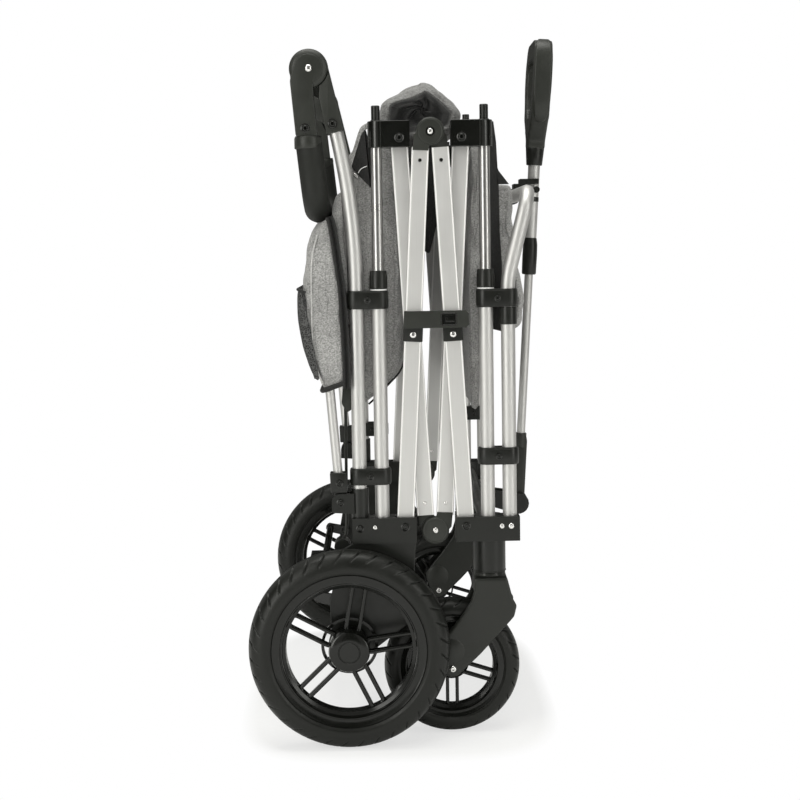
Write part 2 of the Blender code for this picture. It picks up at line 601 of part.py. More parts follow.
def front_cross_tube():
    """The tube between the front feet, with the two ears that hold the pull handle's pivot."""
    x, z = FRONT_POST_X + 0.002, 0.3050
    reach = 0.268 - 0.0215 - 0.0004
    shapes = [rod((x, -reach, z), (x, reach, z), 0.0115)]
    outline = arc((PULL_PIVOT_X, PULL_PIVOT_Z), 0.0170, -100, 60, 9)
    outline += [(x + 0.006, z + 0.011), (x - 0.004, z + 0.011), (x - 0.004, z - 0.010)]
    for limits in ((0.0110, 0.0160), (-0.0160, -0.0110)):
        shapes.append(side_plate(outline, limits))
    shapes.append(rod((PULL_PIVOT_X, -0.0155, PULL_PIVOT_Z), (PULL_PIVOT_X, 0.0155, PULL_PIVOT_Z), PIN_R, 12))
    part("front_cross_tube", "front_frame", BLACK_PLASTIC, shapes)


def along_pull(distance, y=0.0):
    """A point on the pull handle's own line."""
    return (
        PULL_PIVOT_X + distance * math.sin(PULL_TILT),
        y,
        PULL_PIVOT_Z + distance * math.cos(PULL_TILT),
    )


def pull_handle():
    """The telescopic pull handle: lower tube with its pivot fitting, upper tube with its lock, and grip."""
    lean = Matrix.Translation((PULL_PIVOT_X, 0.0, PULL_PIVOT_Z)) @ Matrix.Rotation(PULL_TILT, 4, "Y")
    upright = lean @ Matrix(((0, 0, 1, 0), (1, 0, 0, 0), (0, 1, 0, 0), (0, 0, 0, 1)))
    fitting = [(0.0098, -0.004), (0.0098, 0.108), (-0.0098, 0.108), (-0.0098, -0.004), (-0.006, -0.010), (0.006, -0.010)]
    lower = rod(along_pull(0.095), along_pull(0.5200), PULL_INNER_R)
    pivot_hole = rod((PULL_PIVOT_X, -0.02, PULL_PIVOT_Z), (PULL_PIVOT_X, 0.02, PULL_PIVOT_Z), PIN_R + PIN_GAP, 12)
    part("pull_lower_tube", "pull_handle", ALUMINIUM, [slab([fitting], 0.0110, upright), lower], [pivot_hole])

    upper = rod(along_pull(0.372), along_pull(0.5500), PULL_TUBE_R)
    wide_lock = rod(along_pull(0.3640), along_pull(0.4190), 0.0108)
    slim_lock = rod(along_pull(0.4170), along_pull(0.4460), 0.0100)
    bore = rod(along_pull(0.3500), along_pull(0.5600), PULL_INNER_R + 0.0006)
    part("pull_upper_tube", "pull_slider", ALUMINIUM, [upper, wide_lock, slim_lock], [bore])

    top, width = 0.7225, 0.064
    outer = arc((0.036, top - 0.028), 0.028, 0, 90, 5) + arc((-0.036, top - 0.028), 0.028, 90, 180, 5)
    outer += [(-width, 0.640), (-0.056, 0.606), (-0.0165, 0.572), (-0.0145, 0.560)]
    outer += [(0.0145, 0.560), (0.0165, 0.572), (0.056, 0.606), (width, 0.640)]
    inner = arc((0.030, top - 0.041), 0.012, 0, 90, 4) + arc((-0.030, top - 0.041), 0.012, 90, 180, 4)
    inner += [(-0.042, 0.641), (-0.035, 0.622), (-0.016, 0.608), (0.016, 0.608), (0.035, 0.622), (0.042, 0.641)]
    plate = slab([outer, inner], GRIP_THICK, upright)
    neck = rod(along_pull(0.5350), along_pull(0.5745), 0.0112, 16, 0.0134)
    socket = rod(along_pull(0.5200), along_pull(0.5505), PULL_TUBE_R + TOUCH_GAP)
    part("pull_grip", "pull_slider", BLACK_PLASTIC, [plate, neck], [socket])


# Wheels
def ring_profile(inner, outer, half_width, crown=0.0):
    """A ring's cross-section: square where it seats, round over the crown."""
    if not crown:
        return [(outer, half_width), (outer, -half_width), (inner, -half_width), (inner, half_width)]
    side = [
        (inner, half_width * 0.72),
        (inner + crown * 0.34, half_width),
        (inner + crown * 0.76, half_width * 0.82),
        (outer, half_width * 0.26),
    ]
    return side + [(radius, -height) for radius, height in reversed(side)]


def wheel(side, sign, kind, centre):
    """A tyre on a rim with five pairs of slim spokes."""
    x, y, z = centre
    rear = kind == "rear"
    radius, seat, width, steps = (REAR_WHEEL_R, REAR_TYRE_SEAT_R, REAR_TYRE_W, 36) if rear else (CASTER_WHEEL_R, CASTER_SEAT_R, CASTER_TYRE_W, 28)
    body_name = f"{kind}_wheel_{side}"
    part(f"{kind}_tyre_{side}", body_name, RUBBER, [turned(ring_profile(seat, radius, width / 2, radius - seat), steps, centre)])
    rim_inner = seat - (0.0175 if rear else 0.0130)
    barrel = turned(ring_profile(rim_inner, seat - TOUCH_GAP, width * 0.34), steps, centre)
    apart, slim = (0.0085, 0.0050) if rear else (0.0068, 0.0042)
    hub_r, start, bore_r = (0.0290, 8.0, 0.0064) if rear else (0.0185, 54.0, 0.0054)
    out = sign if rear else 0
    face = 0.0240 if rear else 0.0185
    hub = rod((x, y - sign * 0.0225 if rear else y - face, z), (x, y + out * 0.0250 if rear else y + face, z), hub_r, 20)
    shapes = [barrel, hub]
    middle = y + out * 0.0010
    for step in range(5):
        angle = math.radians(start + 72.0 * step)
        turn = Matrix.Translation((x, middle, z)) @ Matrix.Rotation(-angle, 4, "Y")
        for offset in (-apart, apart):
            bm = bmesh.new()
            size = Matrix.Diagonal((rim_inner + 0.004 - hub_r * 0.6, 0.0110, slim, 1.0))
            shift = Matrix.Translation(((rim_inner + 0.004 + hub_r * 0.6) / 2, 0.0, offset))
            bmesh.ops.create_cube(bm, size=1.0, matrix=shift @ size)
            shapes.append(from_bmesh(bm, turn))
    if rear:
        shapes.append(rod((x, y - sign * 0.0215, z), (x, y - sign * 0.0130, z), 0.0380, 20))
        cuts = [rod((x, y - sign * 0.03, z), (x, y + sign * 0.0195, z), bore_r, 12)]
    else:
        cuts = [rod((x, y - 0.03, z), (x, y + 0.03, z), bore_r, 12)]
    part(f"{kind}_rim_{side}", body_name, GLOSS_PLASTIC, shapes, cuts)


def caster_fork(side, sign):
    """The caster's two-legged fork, turning under the front foot."""
    x, y = CASTER_X, sign * CASTER_Y
    axle = (CASTER_AXLE_X, CASTER_WHEEL_R)
    leg = [
        (x - 0.0225, 0.2150),
        (x - 0.0290, 0.1950),
        (x - 0.0480, 0.1680),
        *arc((axle[0] - 0.002, axle[1] + 0.026), 0.0200, 135, 200, 4),
        *arc((axle[0], axle[1]), 0.0130, 200, 320, 6),
        (x - 0.0160, 0.1180),
        (x + 0.0130, 0.1500),
        (x + 0.0330, 0.1720),
        (x + 0.0370, 0.1880),
        (x + 0.0225, 0.2150),
    ]
    crown = [(x - 0.0235, 0.2290), (x - 0.0235, 0.2035), (x + 0.0300, 0.2035), (x + 0.0235, 0.2290)]
    shapes = [rod((x, y, 0.2050), (x, y, 0.2360 - TOUCH_GAP), 0.0232)]
    shapes.append(side_plate(crown, (y - 0.0295, y + 0.0295)))
    for low, high in ((-0.0295, -0.0223), (0.0223, 0.0295)):
        shapes.append(side_plate(leg, (y + low, y + high)))
    shapes.append(rod((axle[0], y - 0.0300, axle[1]), (axle[0], y + 0.0300, axle[1]), 0.0050, 12))
    part(f"caster_fork_{side}", f"caster_{side}", BLACK_PLASTIC, shapes)


# Basket and soft goods
def basket_frame():
    """The rear basket's hoop with its two end fittings in the lugs."""
    top = 0.7150
    lean = 0.0762
    foot_z = LUG_Z + 0.040
    x_low = LUG_X - lean * 0.040
    corners = [
        (x_low, -SIDE_Y, foot_z),
        (LUG_X - lean * (top - LUG_Z), -SIDE_Y, top),
        (LUG_X - lean * (top - LUG_Z), SIDE_Y, top),
        (x_low, SIDE_Y, foot_z),
    ]
    shapes = [tube(rounded_path(corners, (0.035, 0.035), 5), BASKET_TUBE_R)]
    cuts = []
    for _, sign in SIDES:
        tongue = arc((LUG_X, LUG_Z), 0.0085, 180, 360, 7) + [(LUG_X + 0.0085, LUG_Z + 0.016), (LUG_X - 0.0085, LUG_Z + 0.016)]
        shapes.append(side_plate(tongue, across(sign, (0.2662, 0.2778))))
        block = [(LUG_X - 0.0135, LUG_Z + 0.0135), (LUG_X + 0.0100, LUG_Z + 0.0135), (LUG_X + 0.0090, LUG_Z + 0.0420), (LUG_X - 0.0145, LUG_Z + 0.0420)]
        shapes.append(side_plate(block, across(sign, (0.2610, 0.2830))))
        cuts.append(pin(LUG_X, LUG_Z, sign, (0.2600, 0.2840), 0.0030 + PIN_GAP))
    part("basket_frame", "rear_basket", ALUMINIUM, shapes, cuts)


def cloth_block(name, body_name, outline, half_width):
    """A folded bundle of cloth as a plain solid."""
    part(name, body_name, CLOTH, [side_plate(outline, (-half_width, half_width))])


def soft_goods():
    bag = [(-0.016, 0.490), (-0.050, 0.484), (-0.062, 0.520), (-0.064, 0.600), (-0.060, 0.690), (-0.052, 0.7080), (-0.022, 0.7080), (-0.014, 0.640)]
    cloth_block("basket_bag", "rear_basket", [(AXLE_X + x, z) for x, z in bag], 0.2350)
    tub = [(0.020, 0.484), (0.036, 0.484), (0.060, 0.505), (0.084, 0.590), (0.092, 0.846), (0.004, 0.846), (0.004, 0.520)]
    cloth_block("tub_cloth", "rear_frame", [(AXLE_X + x, z) for x, z in tub], BRACKET_Y[0] - TOUCH_GAP)
    canopy = [(0.056, 0.8463), (0.092, 0.8463), (0.160, 0.8560), (0.178, 0.885), (0.172, 0.922), (0.140, 0.946), (0.098, 0.946), (0.066, 0.915)]
    cloth_block("canopy_cloth", "rear_frame", [(AXLE_X + x, z) for x, z in canopy], 0.2450)
    roll = [(0.183, 0.464), (0.193, 0.472), (0.199, 0.560), (0.200, 0.838), (0.180, 0.844), (0.172, 0.600), (0.175, 0.480)]
    cloth_block("front_roll", "front_frame", [(AXLE_X + x, z) for x, z in roll], 0.2450)
    panel = [(0.2004, 0.590), (0.222, 0.580), (0.254, 0.580), (0.260, 0.620), (0.2500, 0.700), (0.2514, 0.745), (0.2514, 0.790), (0.2004, 0.790)]
    cloth_block("front_panel", "front_frame", [(AXLE_X + x, z) for x, z in panel], 0.2450)


def build_bodies():
    body("rear_frame", (0.0, 0.0, 0.0))
    for side, sign in SIDES:
        y = sign * SIDE_Y
        cross = bar_frame(1, 1, (REAR_PIVOT_X, FOOT_PIVOT_Z))(BAR_HALF, 0.0)
        hinge = bar_frame(1, 1, (REAR_PIVOT_X, FOOT_PIVOT_Z))(BAR_HALF + HINGE_RUN, HINGE_OFFSET)
        front_cross = bar_frame(-1, 1, (FRONT_PIVOT_X, FOOT_PIVOT_Z))(BAR_HALF, 0.0)
        body(f"rear_foot_bar_{side}", (REAR_PIVOT_X, y, FOOT_PIVOT_Z), "rear_frame")
        body(f"rear_top_bar_{side}", (cross[0], y, cross[1]), f"rear_foot_bar_{side}")
        body(f"rear_slider_{side}", (REAR_PIVOT_X, y, TOP_PIVOT_Z), f"rear_top_bar_{side}")
        body(f"front_foot_bar_{side}", (hinge[0], y, hinge[1]), f"rear_foot_bar_{side}")
        body(f"front_top_bar_{side}", (front_cross[0], y, front_cross[1]), f"front_foot_bar_{side}")
        body(f"front_slider_{side}", (FRONT_PIVOT_X, y, TOP_PIVOT_Z), f"front_top_bar_{side}")
        body(f"rear_wheel_{side}", (AXLE_X, sign * REAR_WHEEL_Y, REAR_WHEEL_R), "rear_frame")
    latch_x = bar_frame(1, 1, (REAR_PIVOT_X, FOOT_PIVOT_Z))(0.2925, -0.0125)[0]
    body("latch_arm", (latch_x, -OUTER_LAYER[1] - 0.006, FOOT_PIVOT_Z + 0.2925), "rear_foot_bar_right")
    body("front_frame", (FRONT_PIVOT_X, -SIDE_Y, FOOT_PIVOT_Z), "front_foot_bar_right")
    for side, sign in SIDES:
        body(f"caster_{side}", (CASTER_X, sign * CASTER_Y, 0.2360), "front_frame")
        body(f"caster_wheel_{side}", (CASTER_AXLE_X, sign * CASTER_Y, CASTER_WHEEL_R), f"caster_{side}")
        x = FRONT_PIVOT_X + BUTTON_SHIFT
        body(f"release_button_{side}", (x, sign * BUTTON_Y, BUTTON_TOP), f"front_slider_{side}")
    body("brake_pedal", (PEDAL_X, 0.0, PEDAL_Z), "rear_frame")
    body("push_handle", (PUSH_HINGE_X, 0.0, PUSH_HINGE_Z), "rear_frame")
    body("rear_basket", (LUG_X, 0.0, LUG_Z), "rear_frame")
    body("pull_handle", (PULL_PIVOT_X, 0.0, PULL_PIVOT_Z), "front_frame")
    body("pull_slider", along_pull(0.364), "pull_handle")


def build_parts():
    for side, sign in SIDES:
        scissors(side, sign)
        for end, x, other in (("rear", REAR_POST_X, PUSH_TUBE_X), ("front", FRONT_POST_X, HOOP_X)):
            frame = f"{end}_frame"
            lower_z = REAR_LOWER_CLAMP_Z if end == "rear" else FRONT_LOWER_CLAMP_Z
            post(f"{end}_post_{side}", frame, x, sign)
            clamp(f"{end}_upper_clamp_{side}", frame, (x, other), UPPER_CLAMP_Z, sign, x)
            clamp(f"{end}_lower_clamp_{side}", frame, (x, other), lower_z, sign)
            slider(side, sign, end)
        rear_foot(side, sign)
        front_foot(side, sign)
        push_tube(side, sign)
        push_hinge(side, sign)
        wheel(side, sign, "rear", (AXLE_X, sign * REAR_WHEEL_Y, REAR_WHEEL_R))
        wheel(side, sign, "caster", (CASTER_AXLE_X, sign * CASTER_Y, CASTER_WHEEL_R))
        caster_fork(side, sign)
    latch_arm()
    rear_axle()
    push_grip()
    front_hoop()
    front_cross_tube()
    pull_handle()
    basket_frame()
    brake_pedal()
    brake_cable()
    soft_goods()


build_bodies()
build_parts()
bpy.context.view_layer.update()
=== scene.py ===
"""Looks of the folding stroller wagon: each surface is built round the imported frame, in metres."""

import json
import math

import bmesh
import bpy
import numpy as np
from mathutils import Matrix, Vector


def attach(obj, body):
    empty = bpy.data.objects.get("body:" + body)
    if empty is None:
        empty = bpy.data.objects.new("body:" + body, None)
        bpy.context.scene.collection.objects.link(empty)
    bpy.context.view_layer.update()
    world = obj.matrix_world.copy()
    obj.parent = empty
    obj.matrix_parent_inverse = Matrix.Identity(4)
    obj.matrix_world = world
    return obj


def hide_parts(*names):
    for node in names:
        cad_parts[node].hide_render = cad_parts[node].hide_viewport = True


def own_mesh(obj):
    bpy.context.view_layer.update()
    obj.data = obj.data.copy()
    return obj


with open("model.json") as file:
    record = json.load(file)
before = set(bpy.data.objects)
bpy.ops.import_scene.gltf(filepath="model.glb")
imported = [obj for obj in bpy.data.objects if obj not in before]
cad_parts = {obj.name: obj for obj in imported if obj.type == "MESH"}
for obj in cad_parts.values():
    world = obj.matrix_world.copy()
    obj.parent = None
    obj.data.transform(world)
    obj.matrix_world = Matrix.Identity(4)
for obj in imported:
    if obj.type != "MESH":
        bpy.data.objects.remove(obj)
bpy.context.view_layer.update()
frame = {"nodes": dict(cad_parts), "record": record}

# Places, as the part has them
AXLE_X, AXLE_Z, REAR_WHEEL_Y = -0.09, 0.1415, 0.312
SIDE_Y = 0.272
REAR_POST_X, PUSH_TUBE_X, REAR_PIVOT_X = -0.04, -0.0715, -0.008
TILT = math.radians(3.16)
BAR_HALF, HINGE_OFFSET = 0.272, 0.0125
KNEE_RUN = BAR_HALF + 0.281
SPREAD = KNEE_RUN * math.sin(TILT) + HINGE_OFFSET * math.cos(TILT)
FRONT_PIVOT_X = REAR_PIVOT_X + 2 * SPREAD
FRONT_POST_X = FRONT_PIVOT_X + 0.032
HOOP_X = FRONT_POST_X + 0.031
CASTER_X, CASTER_Y = FRONT_POST_X + 0.003, 0.2455
CASTER_AXLE_X, CASTER_AXLE_Z = CASTER_X - 0.056, 0.098
FOOT_Z = 0.308
TOP_Z = FOOT_Z + 2 * BAR_HALF * math.cos(TILT)
BRACKET_Z = (TOP_Z - 0.013, TOP_Z + 0.0235)
BRACKET_SLOT_Z = TOP_Z + 0.0188
PUSH_HINGE = (-0.1306, 0.947)
LUG = (-0.0989, 0.344)
PULL_PIVOT, PULL_TILT = (0.177, 0.291), math.radians(3.3)
OUTER_LAYER, INNER_LAYER = (0.274, 0.283), (0.263, 0.272)
TUBE_R, INNER_TUBE_R, SLIM_TUBE_R, CABLE_R = 0.01, 0.0078, 0.0066, 0.0022
SIDES = (("right", -1), ("left", 1))
UP, ACROSS = (0.0, 0.0, 1.0), (0.0, 1.0, 0.0)
LIGHT_TINT = (1.0, 1.0, 0.95)
RIDES = {node: body for body, nodes in frame["record"]["behaviour"]["bodies"].items() for node in nodes}
VECTOR, FLOAT = "NodeSocketVector", "NodeSocketFloat"


# Shaders
class Wiring:
    """Adds shader nodes to one tree, joining sockets and setting plain values."""

    def __init__(self, tree):
        self.tree = tree

    def fill(self, node, sockets):
        """Joins a socket to each named input of a node, or sets a plain value there."""
        for key, value in sockets.items():
            if isinstance(value, bpy.types.NodeSocket):
                self.tree.links.new(value, node.inputs[key])
            else:
                node.inputs[key].default_value = value

    def add(self, kind, sockets=None, **settings):
        """A new node with its settings and its inputs."""
        made = self.tree.nodes.new("ShaderNode" + kind)
        for key, value in settings.items():
            setattr(made, key, value)
        self.fill(made, sockets or {})
        return made

    def math(self, operation, first, second=0.5):
        """One sum, product, power or larger value."""
        return self.add("Math", {0: first, 1: second}, operation=operation).outputs[0]

    def weighted(self, first, much, second, less):
        """Two values added in given shares."""
        return self.math("ADD", self.math("MULTIPLY", first, much), self.math("MULTIPLY", second, less))

    def stretched(self, vector, scale):
        """Coordinates scaled by a different amount each way."""
        return self.add("Mapping", {"Vector": vector, "Scale": scale}).outputs[0]

    def scaled(self, vector, scale):
        """A vector or colour times one value."""
        return self.add("VectorMath", {0: vector, "Scale": scale}, operation="SCALE").outputs[0]

    def noise(self, vector, scale, detail=3.0, rough=0.5):
        """Fractal noise from 0 to 1."""
        sockets = {"Vector": vector, "Scale": scale, "Detail": detail, "Roughness": rough}
        return self.add("TexNoise", sockets).outputs["Fac"]

    def between(self, value, low, high, to_low=0.0, to_high=1.0):
        """A value's place between two limits, carried to another range and held there."""
        return self.add("MapRange", {"Value": value, 1: low, 2: high, 3: to_low, 4: to_high}).outputs[0]

    def blend(self, share, first, second):
        """The second colour laid over the first by a share."""
        return self.add("Mix", {0: share, 6: first, 7: second}, data_type="RGBA").outputs[2]

    def bump(self, height, strength, distance):
        """A normal from a height."""
        return self.add("Bump", {"Height": height, "Strength": strength, "Distance": distance}).outputs[0]

    def seen(self):
        """One where the camera sees the surface, straight or through glass, and nought for its light."""
        path = self.add("LightPath").outputs
        return self.math("MAXIMUM", path["Is Camera Ray"], path["Is Transmission Ray"])


def shader_group(name, inputs, outputs, wired):
    """A node group: wired takes its input sockets and returns a socket for each output."""
    group = bpy.data.node_groups.new(name, "ShaderNodeTree")
    for label, kind, value in inputs:
        group.interface.new_socket(label, in_out="INPUT", socket_type=kind).default_value = value
    labels = (*outputs, "Normal")
    for label in labels:
        kind = VECTOR if label == "Normal" else FLOAT
        group.interface.new_socket(label, in_out="OUTPUT", socket_type=kind)
    wires = Wiring(group)
    given = group.nodes.new("NodeGroupInput").outputs
    wires.fill(group.nodes.new("NodeGroupOutput"), dict(zip(labels, wired(wires, given))))
    return group


def pebble(wires, given):
    """Fine moulded grain: small cells and finer noise as height, with broad handling marks as a mask."""
    place = given["Vector"]
    cells = wires.add("TexVoronoi", {"Vector": place, "Scale": given["Size"]}, feature="SMOOTH_F1").outputs[0]
    height = wires.weighted(cells, 0.7, wires.noise(place, 2600.0, 2.0), 0.3)
    broad = wires.between(wires.noise(place, 34.0, 5.0, 0.6), 0.42, 0.72)
    scratch = wires.noise(wires.stretched(place, (60.0, 60.0, 900.0)), 1.0, 2.0)
    marks = wires.math("ADD", broad, wires.between(scratch, 0.66, 0.76, 0.0, 0.5))
    return marks, wires.noise(place, 11.0, 4.0), wires.bump(height, given["Depth"], 0.0003)


def drawn(wires, given):
    """Drawn and anodised metal: long fine streaks along the chosen way, with faint clouding."""
    place = given["Vector"]
    streak = wires.noise(wires.stretched(place, given["Stretch"]), 1.0, 3.0, 0.6)
    return streak, wires.noise(place, 26.0, 4.0), wires.bump(streak, given["Depth"], 0.0002)


def heather(wires, given):
    """Heather weave: light and dark threads crossing at right angles, with a plain weave's bumps."""
    place = given["Vector"]
    scaled = wires.scaled(place, given["Thread"])
    upright = wires.noise(wires.stretched(scaled, (950.0, 950.0, 170.0)), 1.0, 3.0, 0.7)
    level = wires.noise(wires.stretched(scaled, (230.0, 230.0, 1100.0)), 1.0, 3.0, 0.7)
    both = wires.weighted(upright, 0.42, level, 0.58)
    sockets = {"Vector": scaled, "Scale": 330.0, "Distortion": 1.2, "Detail": 1.0}
    warp, weft = (wires.add("TexWave", sockets, bands_direction=way).outputs[1] for way in ("Z", "DIAGONAL"))
    height = wires.weighted(wires.math("MAXIMUM", warp, weft), 0.5, both, 0.8)
    melange = wires.between(both, 0.4, 0.6)
    return melange, wires.noise(place, 17.0, 3.0), wires.bump(height, given["Depth"], 0.0006)


PLACE = ("Vector", VECTOR, (0.0, 0.0, 0.0))
GRAIN = shader_group(
    "moulded_grain", (PLACE, ("Size", FLOAT, 900.0), ("Depth", FLOAT, 0.3)), ("Marks", "Tone"), pebble
)
DRAWN = shader_group(
    "drawn_metal",
    (PLACE, ("Stretch", VECTOR, (1600.0, 1600.0, 14.0)), ("Depth", FLOAT, 0.1)),
    ("Streak", "Cloud"),
    drawn,
)
HEATHER = shader_group(
    "heather_weave", (PLACE, ("Thread", FLOAT, 1.0), ("Depth", FLOAT, 0.5)), ("Melange", "Shade"), heather
)


def grey(value, warm=0.0):
    """A grey, with a little more red and less blue by its warmth."""
    return (value * (1.0 + warm), value, value * (1.0 - warm), 1.0)


def toned(value):
    """A plastic's grey: near-blacks take an olive cast, red 0.92 and blue 0.80, that is gone by 0.125."""
    cast = max(0.0, 1.0 - 8.0 * value)
    return (value * (1.0 - 0.08 * cast), value, value * (1.0 - 0.2 * cast), 1.0)


def started(name, plain):
    """A material, its wiring, its Principled shader with plain values set, and its coordinates."""
    made = bpy.data.materials.new(name)
    made.use_nodes = True
    wires = Wiring(made.node_tree)
    shader = made.node_tree.nodes["Principled BSDF"]
    wires.fill(shader, {"Coat Roughness": 0.25, **plain})
    return made, wires, shader, wires.add("TexCoord").outputs["Object"]


def moulding(name, dark, light, roughness, size=900.0, depth=0.25, spread=0.12, coat=0.0, gleam=0.45):
    """Moulded plastic or rubber: two close tones, handling marks in the roughness, and fine grain."""
    made, wires, shader, place = started(name, {"Coat Weight": coat, "Specular IOR Level": gleam})
    grain = wires.add("Group", {"Vector": place, "Size": size, "Depth": depth}, node_tree=GRAIN).outputs
    tone = wires.weighted(grain["Tone"], 0.7, grain["Marks"], 0.3)
    colour = wires.blend(tone, toned(dark), toned(light))
    rough = wires.between(grain["Marks"], 0.0, 1.0, roughness, roughness + spread)
    wires.fill(shader, {"Base Color": colour, "Roughness": rough, "Normal": grain["Normal"]})
    return made


def metal(name, dark, light, roughness, stretch=(1600.0, 1600.0, 14.0), depth=0.08, spread=0.1, metallic=1.0):
    """Drawn metal: two close tones along its streaks and a roughness that follows them."""
    made, wires, shader, place = started(name, {"Metallic": metallic})
    lines = wires.add("Group", {"Vector": place, "Stretch": stretch, "Depth": depth}, node_tree=DRAWN).outputs
    tone = wires.weighted(lines["Streak"], 0.6, lines["Cloud"], 0.4)
    colour = wires.blend(tone, grey(dark, 0.01), grey(light, 0.01))
    rough = wires.between(lines["Cloud"], 0.3, 0.7, roughness, roughness + spread)
    wires.fill(shader, {"Base Color": colour, "Roughness": rough, "Normal": lines["Normal"]})
    return made


def woven(name, dark, light, roughness=0.9, thread=1.0, depth=0.5, lining=None, sheen=0.25):
    """Woven cloth: light and dark threads, soft shading, and a darker second tone where the piece's mark is
    one.
    """
    made, wires, shader, place = started(name, {"Sheen Weight": sheen})
    weave = wires.add("Group", {"Vector": place, "Thread": thread, "Depth": depth}, node_tree=HEATHER).outputs
    colour = wires.blend(weave["Melange"], grey(dark, 0.01), grey(light, 0.01))
    colour = wires.scaled(colour, wires.between(weave["Shade"], 0.3, 0.7, 0.82, 1.06))
    if lining is not None:
        mark = wires.add("Attribute", attribute_name="lining").outputs["Fac"]
        inner = wires.blend(weave["Melange"], grey(lining * 0.6), grey(lining * 1.5))
        colour = wires.blend(mark, colour, inner)
    rough = wires.between(weave["Melange"], 0.0, 1.0, roughness, roughness - 0.12)
    wires.fill(shader, {"Base Color": colour, "Roughness": rough, "Normal": weave["Normal"]})
    return made


def open_mesh(name, tone, hole, size):
    """Knitted mesh: a net of dark yarn whose holes are near-black, painted shade for the cloth seen behind
    it.
    """
    made, wires, shader, place = started(name, {})
    sockets = {"Vector": wires.stretched(place, (1.0, 1.0, 0.8)), "Scale": size}
    cells = wires.add("TexVoronoi", sockets, feature="DISTANCE_TO_EDGE").outputs[0]
    yarn = wires.between(cells, 0.1, 0.22, 1.0, 0.0)
    # The hole colour is painted shade: the cloth behind the net, darkened as if in shadow.
    colour, rough = wires.blend(yarn, grey(hole), grey(tone)), wires.between(yarn, 0.0, 1.0, 0.95, 0.6)
    wires.fill(shader, {"Base Color": colour, "Roughness": rough, "Normal": wires.bump(yarn, 0.8, 0.0008)})
    return made


FINISHES = {
    "tube": (metal("satin_tube", 0.6, 0.71, 0.48), "aluminium"),
    "inner_tube": (metal("bright_tube", 0.42, 0.56, 0.27, depth=0.03, spread=0.05), "aluminium"),
    "bar": (metal("satin_bar", 0.5, 0.61, 0.42, spread=0.08, metallic=0.5), "aluminium"),
    # corner: the bars' edge rods, a lighter copy of the bar's metal that paints a highlight on the edges.
    "corner": (metal("bar_edge_highlight", 0.78, 0.88, 0.34, depth=0.03, metallic=0.35), "aluminium"),
    "screw": (metal("screw_steel", 0.7, 0.9, 0.16, (900.0, 900.0, 900.0)), "aluminium"),
    "ring": (moulding("pale_ring", 0.62, 0.78, 0.35), "aluminium"),
    "matt": (moulding("matt_black_moulding", 0.005, 0.01, 0.32, 1100.0, 0.2, gleam=0.42), "black_plastic"),
    "leaf": (moulding("hinge_moulding", 0.016, 0.026, 0.38, 1300.0, 0.28), "black_plastic"),
    "housing": (moulding("fork_moulding", 0.01, 0.017, 0.34, 1300.0, 0.28, gleam=0.42), "black_plastic"),
    "gloss": (moulding("gloss_black_moulding", 0.003, 0.006, 0.14, 500.0, 0.04, 0.08, 0.15), "gloss_black"),
    "wheel": (moulding("rim_moulding", 0.003, 0.006, 0.15, 900.0, 0.1, gleam=0.38), "gloss_black"),
    "black_screw": (moulding("black_screw", 0.004, 0.008, 0.13, 600.0, 0.05), "gloss_black"),
    "rubber": (moulding("tyre_rubber", 0.005, 0.009, 0.34, 700.0, 0.3, 0.16, gleam=0.32), "tyre"),
    "foam": (moulding("grip_foam", 0.007, 0.013, 0.55, 1500.0, 0.5, 0.14, gleam=0.35), "foam"),
    "cable": (moulding("cable_sheath", 0.012, 0.02, 0.35, 900.0, 0.1), "cable"),
    "cloth": (woven("heather_cloth", 0.1, 0.46, thread=1.5), "cloth"),
    "canopy": (woven("canopy_cloth", 0.055, 0.26, lining=0.018), "cloth"),
    "lining": (woven("black_lining", 0.004, 0.013, 0.8, 1.4, 0.35, sheen=0.03), "cloth"),
    "webbing": (woven("black_webbing", 0.005, 0.016, 0.7, 2.2, 0.8, sheen=0.03), "cloth"),
    "seam": (woven("seam_cord", 0.3, 0.6, thread=1.6), "cloth"),
    # The pocket's near-black holes, 0.006, are painted shade.
    "mesh": (open_mesh("pocket_mesh", 0.07, 0.006, 400.0), "cloth"),
}


# Surfaces
def mm(*rows):
    """Points given in millimetres, as an array in metres."""
    return np.array(rows, float) / 1000


def unit(vectors):
    """Each vector over its own length."""
    return vectors / np.maximum(np.linalg.norm(vectors, axis=-1, keepdims=True), 1e-12)


def straight(start, end, count=2):
    """Points at equal steps from one place to another."""
    return np.linspace(np.asarray(start, float), np.asarray(end, float), count)


def turning(outline):
    """One where a closed outline runs anticlockwise, and minus one where it runs clockwise."""
    x, z = outline.T
    return 1.0 if np.sum(x * np.roll(z, -1) - z * np.roll(x, -1)) > 0 else -1.0


def grid(points, around=False, along=False, caps=False):
    """Points, quads between their rows and columns, end caps, and UV of the running lengths in metres."""
    if around:
        points = np.concatenate([points, points[:, :1]], axis=1)
    if along:
        points = np.concatenate([points, points[:1]], axis=0)
    rows, columns = points.shape[:2]
    index = np.arange(rows * columns).reshape(rows, columns)
    quads = np.stack([index[:-1, :-1], index[:-1, 1:], index[1:, 1:], index[1:, :-1]], axis=-1).reshape(-1, 4)
    ends = [index[0, -2::-1], index[-1, :-1]] if caps else []
    across = np.linalg.norm(np.diff(points, axis=1), axis=-1).max(axis=0)
    upward = np.linalg.norm(np.diff(points, axis=0), axis=-1).mean(axis=1)
    u, v = (np.concatenate([[0.0], np.cumsum(lengths)]) for lengths in (across, upward))
    uv = np.stack(np.broadcast_arrays(u[None, :], v[:, None]), axis=-1).reshape(-1, 2)
    return points.reshape(-1, 3), quads, ends, uv


